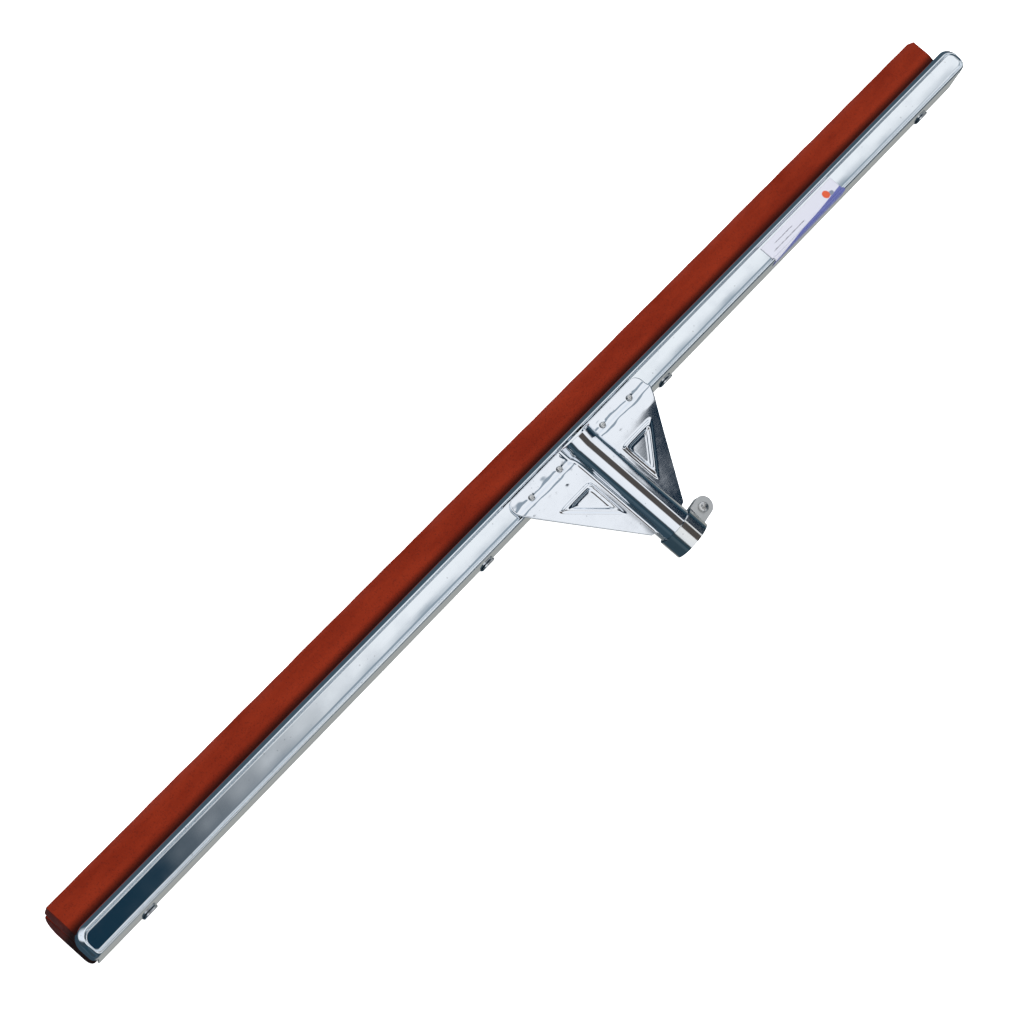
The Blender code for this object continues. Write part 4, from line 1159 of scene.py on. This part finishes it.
def back_strip(finish):
    """Flat steel strip with rounded long edges and round corners in plan."""
    low, high = STRIP_LOW, STRIP_HIGH
    corners = [(low.y, low.z), (high.y, low.z), (high.y, high.z), (low.y, high.z)]
    outline = refine(soften(corners, STRIP_EDGE, 5), 2 * MM)
    grid = bar_grid(outline, low.x, high.x, STRIP_END, 6 * MM)
    cut = corner_cut(np.minimum(grid[..., 0] - low.x, high.x - grid[..., 0]), STRIP_CORNER)
    middle = (low.y + high.y) / 2
    half = (high.y - low.y) / 2
    grid[..., 1] = middle + (grid[..., 1] - middle) * (half - cut) / half
    mesh = grid_mesh("steel_strip", grid, round_columns=True, caps=True)
    return add_piece("steel_strip", mesh, finish, "frame", ["back_strip"], 40)


def clips(finish):
    """Straps bent from the strip's edge, round the heel, up the outside of the wall."""
    for number in CLIPS:
        node = "frame_clip_%d" % number
        low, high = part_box(node)
        outside = low.y + CLIP_SHEET / 2
        under = low.z + CLIP_SHEET / 2
        bend = BACK_LOW.z + BACK_HEEL_ROUND[0] / 2
        line = [(high.y, under), (high.y - CLIP_FOOT, under), (outside, bend), (outside, high.z)]
        path = refine(soften(line, CLIP_BEND_REACH, 7, closed=False), CLIP_STEP, closed=False)
        half = np.full(len(path), (high.x - low.x) / 2)
        half -= corner_cut(high.z - path[:, 1], CLIP_CORNER)
        share = np.linspace(-1, 1, 15)
        grid = points((low.x + high.x) / 2 + half[:, None] * share, path[:, :1], path[:, 1:])
        mesh = grid_mesh("clip_%d" % number, grid)
        piece = add_piece("clip_%d" % number, mesh, finish, "frame", [node], 40)
        give_wall(piece, CLIP_SHEET * 0.9, 0)


# ---------------------------------------------------------------- label

def paper_label(finish):
    """Paper laid over the panel, the far bead and the upper wall, with slightly lifted corners."""
    top = SHELL_HIGH_CORNER.z
    wall = LIP - SHELL_LOW_CORNER.y
    share = np.linspace(0, 1, 16)
    panel_far = wall - PANEL_BACK
    bead_near = wall - SHOULDER_ROUND
    slope_b = panel_far + (bead_near - panel_far) * share
    slope_z = top - PANEL_RECESS * (1 + np.cos(math.pi * share)) / 2
    turn = np.radians(np.linspace(80, 0, 8))
    bead_b = bead_near + SHOULDER_ROUND * np.cos(turn)
    bead_z = top - SHOULDER_ROUND + SHOULDER_ROUND * np.sin(turn)
    start = (LIP - LABEL_HIGH.y, top - PANEL_RECESS)
    line = np.vstack([[start], np.stack([slope_b, slope_z], 1), np.stack([bead_b, bead_z], 1),
                      [(wall, LABEL_LOW.z)]])
    path = refine(line, 0.6 * MM, closed=False)
    run = np.concatenate([[0], np.cumsum(np.linalg.norm(np.diff(path, axis=0), axis=1))])
    step = np.gradient(path, run, axis=0)
    step /= np.linalg.norm(step, axis=1, keepdims=True)
    outward = np.stack([-step[:, 1], step[:, 0]], 1)
    x = np.linspace(LABEL_LOW.x, LABEL_HIGH.x, LABEL_COLUMNS)
    ends = np.minimum(x - x[0], x[-1] - x)
    curl = LABEL_CURL * np.exp(-ends / LABEL_CURL_REACH) + LABEL_WAVE * (1 + wander(x * 4, 1.0))
    lift = LABEL_LIFT + LABEL_SHEET / 2 + curl[None] * np.ones((len(path), 1))
    grid = points(x, LIP - (path[:, :1] + outward[:, :1] * lift), path[:, 1:] + outward[:, 1:] * lift)
    mesh = grid_mesh("paper_label", grid)
    layer = mesh.uv_layers.new(name="sheet")
    spot = np.empty(len(mesh.loops), int)
    mesh.loops.foreach_get("vertex_index", spot)
    flat = np.stack([np.repeat((x - x[0])[None], len(path), 0), np.repeat(run[:, None], len(x), 1)], -1)
    layer.data.foreach_set("uv", (flat.reshape(-1, 2)[spot] / LABEL_UNIT).ravel())
    piece = add_piece("paper_label", mesh, finish, "frame", ["label"], 60)
    give_wall(piece, LABEL_SHEET, 0)
    return piece


# ---------------------------------------------------------------- light, floor, camera

def add_camera():
    """A long lens far in front, turned so that the blades run up to the right."""
    toward = Vector((-math.sin(CAMERA_SIDE) * math.cos(CAMERA_LOW), -math.sin(CAMERA_LOW),
                     math.cos(CAMERA_SIDE) * math.cos(CAMERA_LOW)))
    across = (-toward).cross(Vector((0, 1, 0))).normalized()
    upward = across.cross(-toward)
    right = across * math.cos(CAMERA_TURN) - upward * math.sin(CAMERA_TURN)
    up = across * math.sin(CAMERA_TURN) + upward * math.cos(CAMERA_TURN)
    camera = new_object("camera", bpy.data.cameras.new("camera"))
    turn = Matrix((right, up, toward)).transposed().to_4x4()
    camera.matrix_world = Matrix.Translation(CAMERA_TARGET + toward * CAMERA_DISTANCE) @ turn
    camera.data.lens = CAMERA_LENS
    camera.data.sensor_width = 36
    camera.data.clip_end = 100
    bpy.context.scene.camera = camera


def add_floor():
    """A wide flat floor that leaves no mirror image in the plating."""
    half = FLOOR_SIZE / 2
    side = np.linspace(-half, half, 3)
    grid = np.stack([*np.meshgrid(side, side), np.zeros((3, 3))], -1)
    floor = new_object("floor", grid_mesh("floor", grid))
    floor.data.materials.append(floor_paint())
    floor.visible_glossy = False


def add_lamp(name, place, size, watts, seen):
    """A square soft lamp that faces the object; one that isn't seen leaves no mirror image."""
    lamp = bpy.data.lights.new(name, "AREA")
    lamp.shape = "SQUARE"
    lamp.size = size
    lamp.energy = watts
    holder = new_object(name, lamp)
    place = Vector(place)
    holder.matrix_world = Matrix.Translation(place) @ place.to_track_quat("Z", "Y").to_matrix().to_4x4()
    holder.visible_glossy = seen


def tent_card(tree, colour, tent, low, high, soft, shade):
    """A dark card across the tent's roof, between two corners on the plane one unit overhead."""
    mask = tent[2]
    for axis in range(2):
        rising = step_of(tree, tent[axis], low[axis] - soft[axis], low[axis] + soft[axis])
        falling = step_of(tree, tent[axis], high[axis] + soft[axis], high[axis] - soft[axis])
        mask = product(tree, product(tree, rising, falling), mask)
    return blend_colour(tree, mask, colour, shade)


def add_world():
    """A white light tent with dark cards and a dark rim: they give the plating its streaks.

    Below the horizon it is dark, and grey on the socket's side toward +X.  Only mirror images in the
    plating show that part, because the floor hides it from everything else.
    """
    world = bpy.data.worlds.new("light_tent")
    bpy.context.scene.world = world
    world.use_nodes = True
    tree = world.node_tree
    direction = add_node(tree, "TexCoord").outputs["Generated"]
    to_right, to_lips, upward = (axis_of(tree, direction, axis) for axis in ("X", "Y", "Z"))
    height = add_node(tree, "Math", {0: upward, 1: FLATTEST}, operation="MAXIMUM").outputs[0]
    tent = [add_node(tree, "Math", {0: axis, 1: height}, operation="DIVIDE").outputs[0]
            for axis in (to_right, to_lips)]
    tent.append(step_of(tree, upward, *TENT_FOOT))
    colour = blend_colour(tree, step_of(tree, upward, *TENT_RISE), TENT_LOW, TENT_HIGH)
    for low, high, soft, shade in TENT_CARDS:
        colour = tent_card(tree, colour, tent, low, high, soft, shade)
    colour = paint_over(tree, colour, step_of(tree, upward, *RIM_BAND), RIM_DEPTH, TENT_RIM)
    grey = product(tree, step_of(tree, to_right, *GREY_RIGHT), step_of(tree, to_lips, *GREY_SOCKET))
    below = blend_colour(tree, grey, BELOW_DARK, BELOW_GREY)
    colour = blend_colour(tree, step_of(tree, upward, *BELOW_BAND), colour, below)
    feed(tree, tree.nodes["Background"], {"Color": colour, "Strength": 1.0})


def main():
    add_camera()
    sheet = rolled_sheet_group()
    speckle = speckle_group()
    foam = foam_rubber(speckle)
    shell_finish = bright_plate("shell_plate", sheet, speckle, tint=(0.84, 0.88, 0.91),
                                stain=(0.78, 0.82, 0.86), buckle_scale=16.0, buckle_depth=0.10 * MM,
                                roughness=0.035)
    bracket_finish = bright_plate("bracket_plate", sheet, speckle, tint=(0.84, 0.87, 0.91),
                                  stain=(0.79, 0.82, 0.86), buckle_scale=34.0, buckle_depth=0.10 * MM,
                                  roughness=0.035)
    band_finish = bright_plate("band_plate", sheet, speckle, tint=(0.78, 0.79, 0.78),
                               stain=(0.66, 0.67, 0.65), buckle_scale=60.0, buckle_depth=0.05 * MM,
                               roughness=0.07, dull_from=BAND_MIDDLE.x + 14.5 * MM)
    strip_steel = zinc_steel("strip_steel", speckle, tint=(0.58, 0.59, 0.60), roughness=0.24,
                             speck_scale=160.0)
    clip_steel = zinc_steel("clip_steel", speckle, tint=(0.78, 0.79, 0.80), roughness=0.12,
                            speck_scale=260.0)
    fastener_steel = zinc_steel("fastener_steel", speckle, tint=(0.66, 0.66, 0.65), roughness=0.16,
                                speck_scale=700.0)
    front_blade(foam)
    back_blade(foam)
    front_shell(shell_finish)
    bracket_plate("front_plate", "bracket_front_plate", bracket_finish, True, 0, False)
    bracket_plate("back_plate", "bracket_back_plate", bracket_finish, False, BACK_WING_INSET, True)
    rivets(fastener_steel)
    clamp_band(band_finish)
    screw_piece(fastener_steel)
    washer_and_nut(fastener_steel)
    back_strip(strip_steel)
    clips(clip_steel)
    paper_label(label_paper())
    spacer = frame["nodes"]["blade_spacer"]
    spacer.data.materials.clear()
    spacer.data.materials.append(strip_steel)
    add_floor()
    add_world()
    add_lamp("roof_lamp", place=(0.3, 0.4, 3.0), size=3.0, watts=62, seen=False)
    bpy.context.scene.view_settings.view_transform = "Standard"


main()
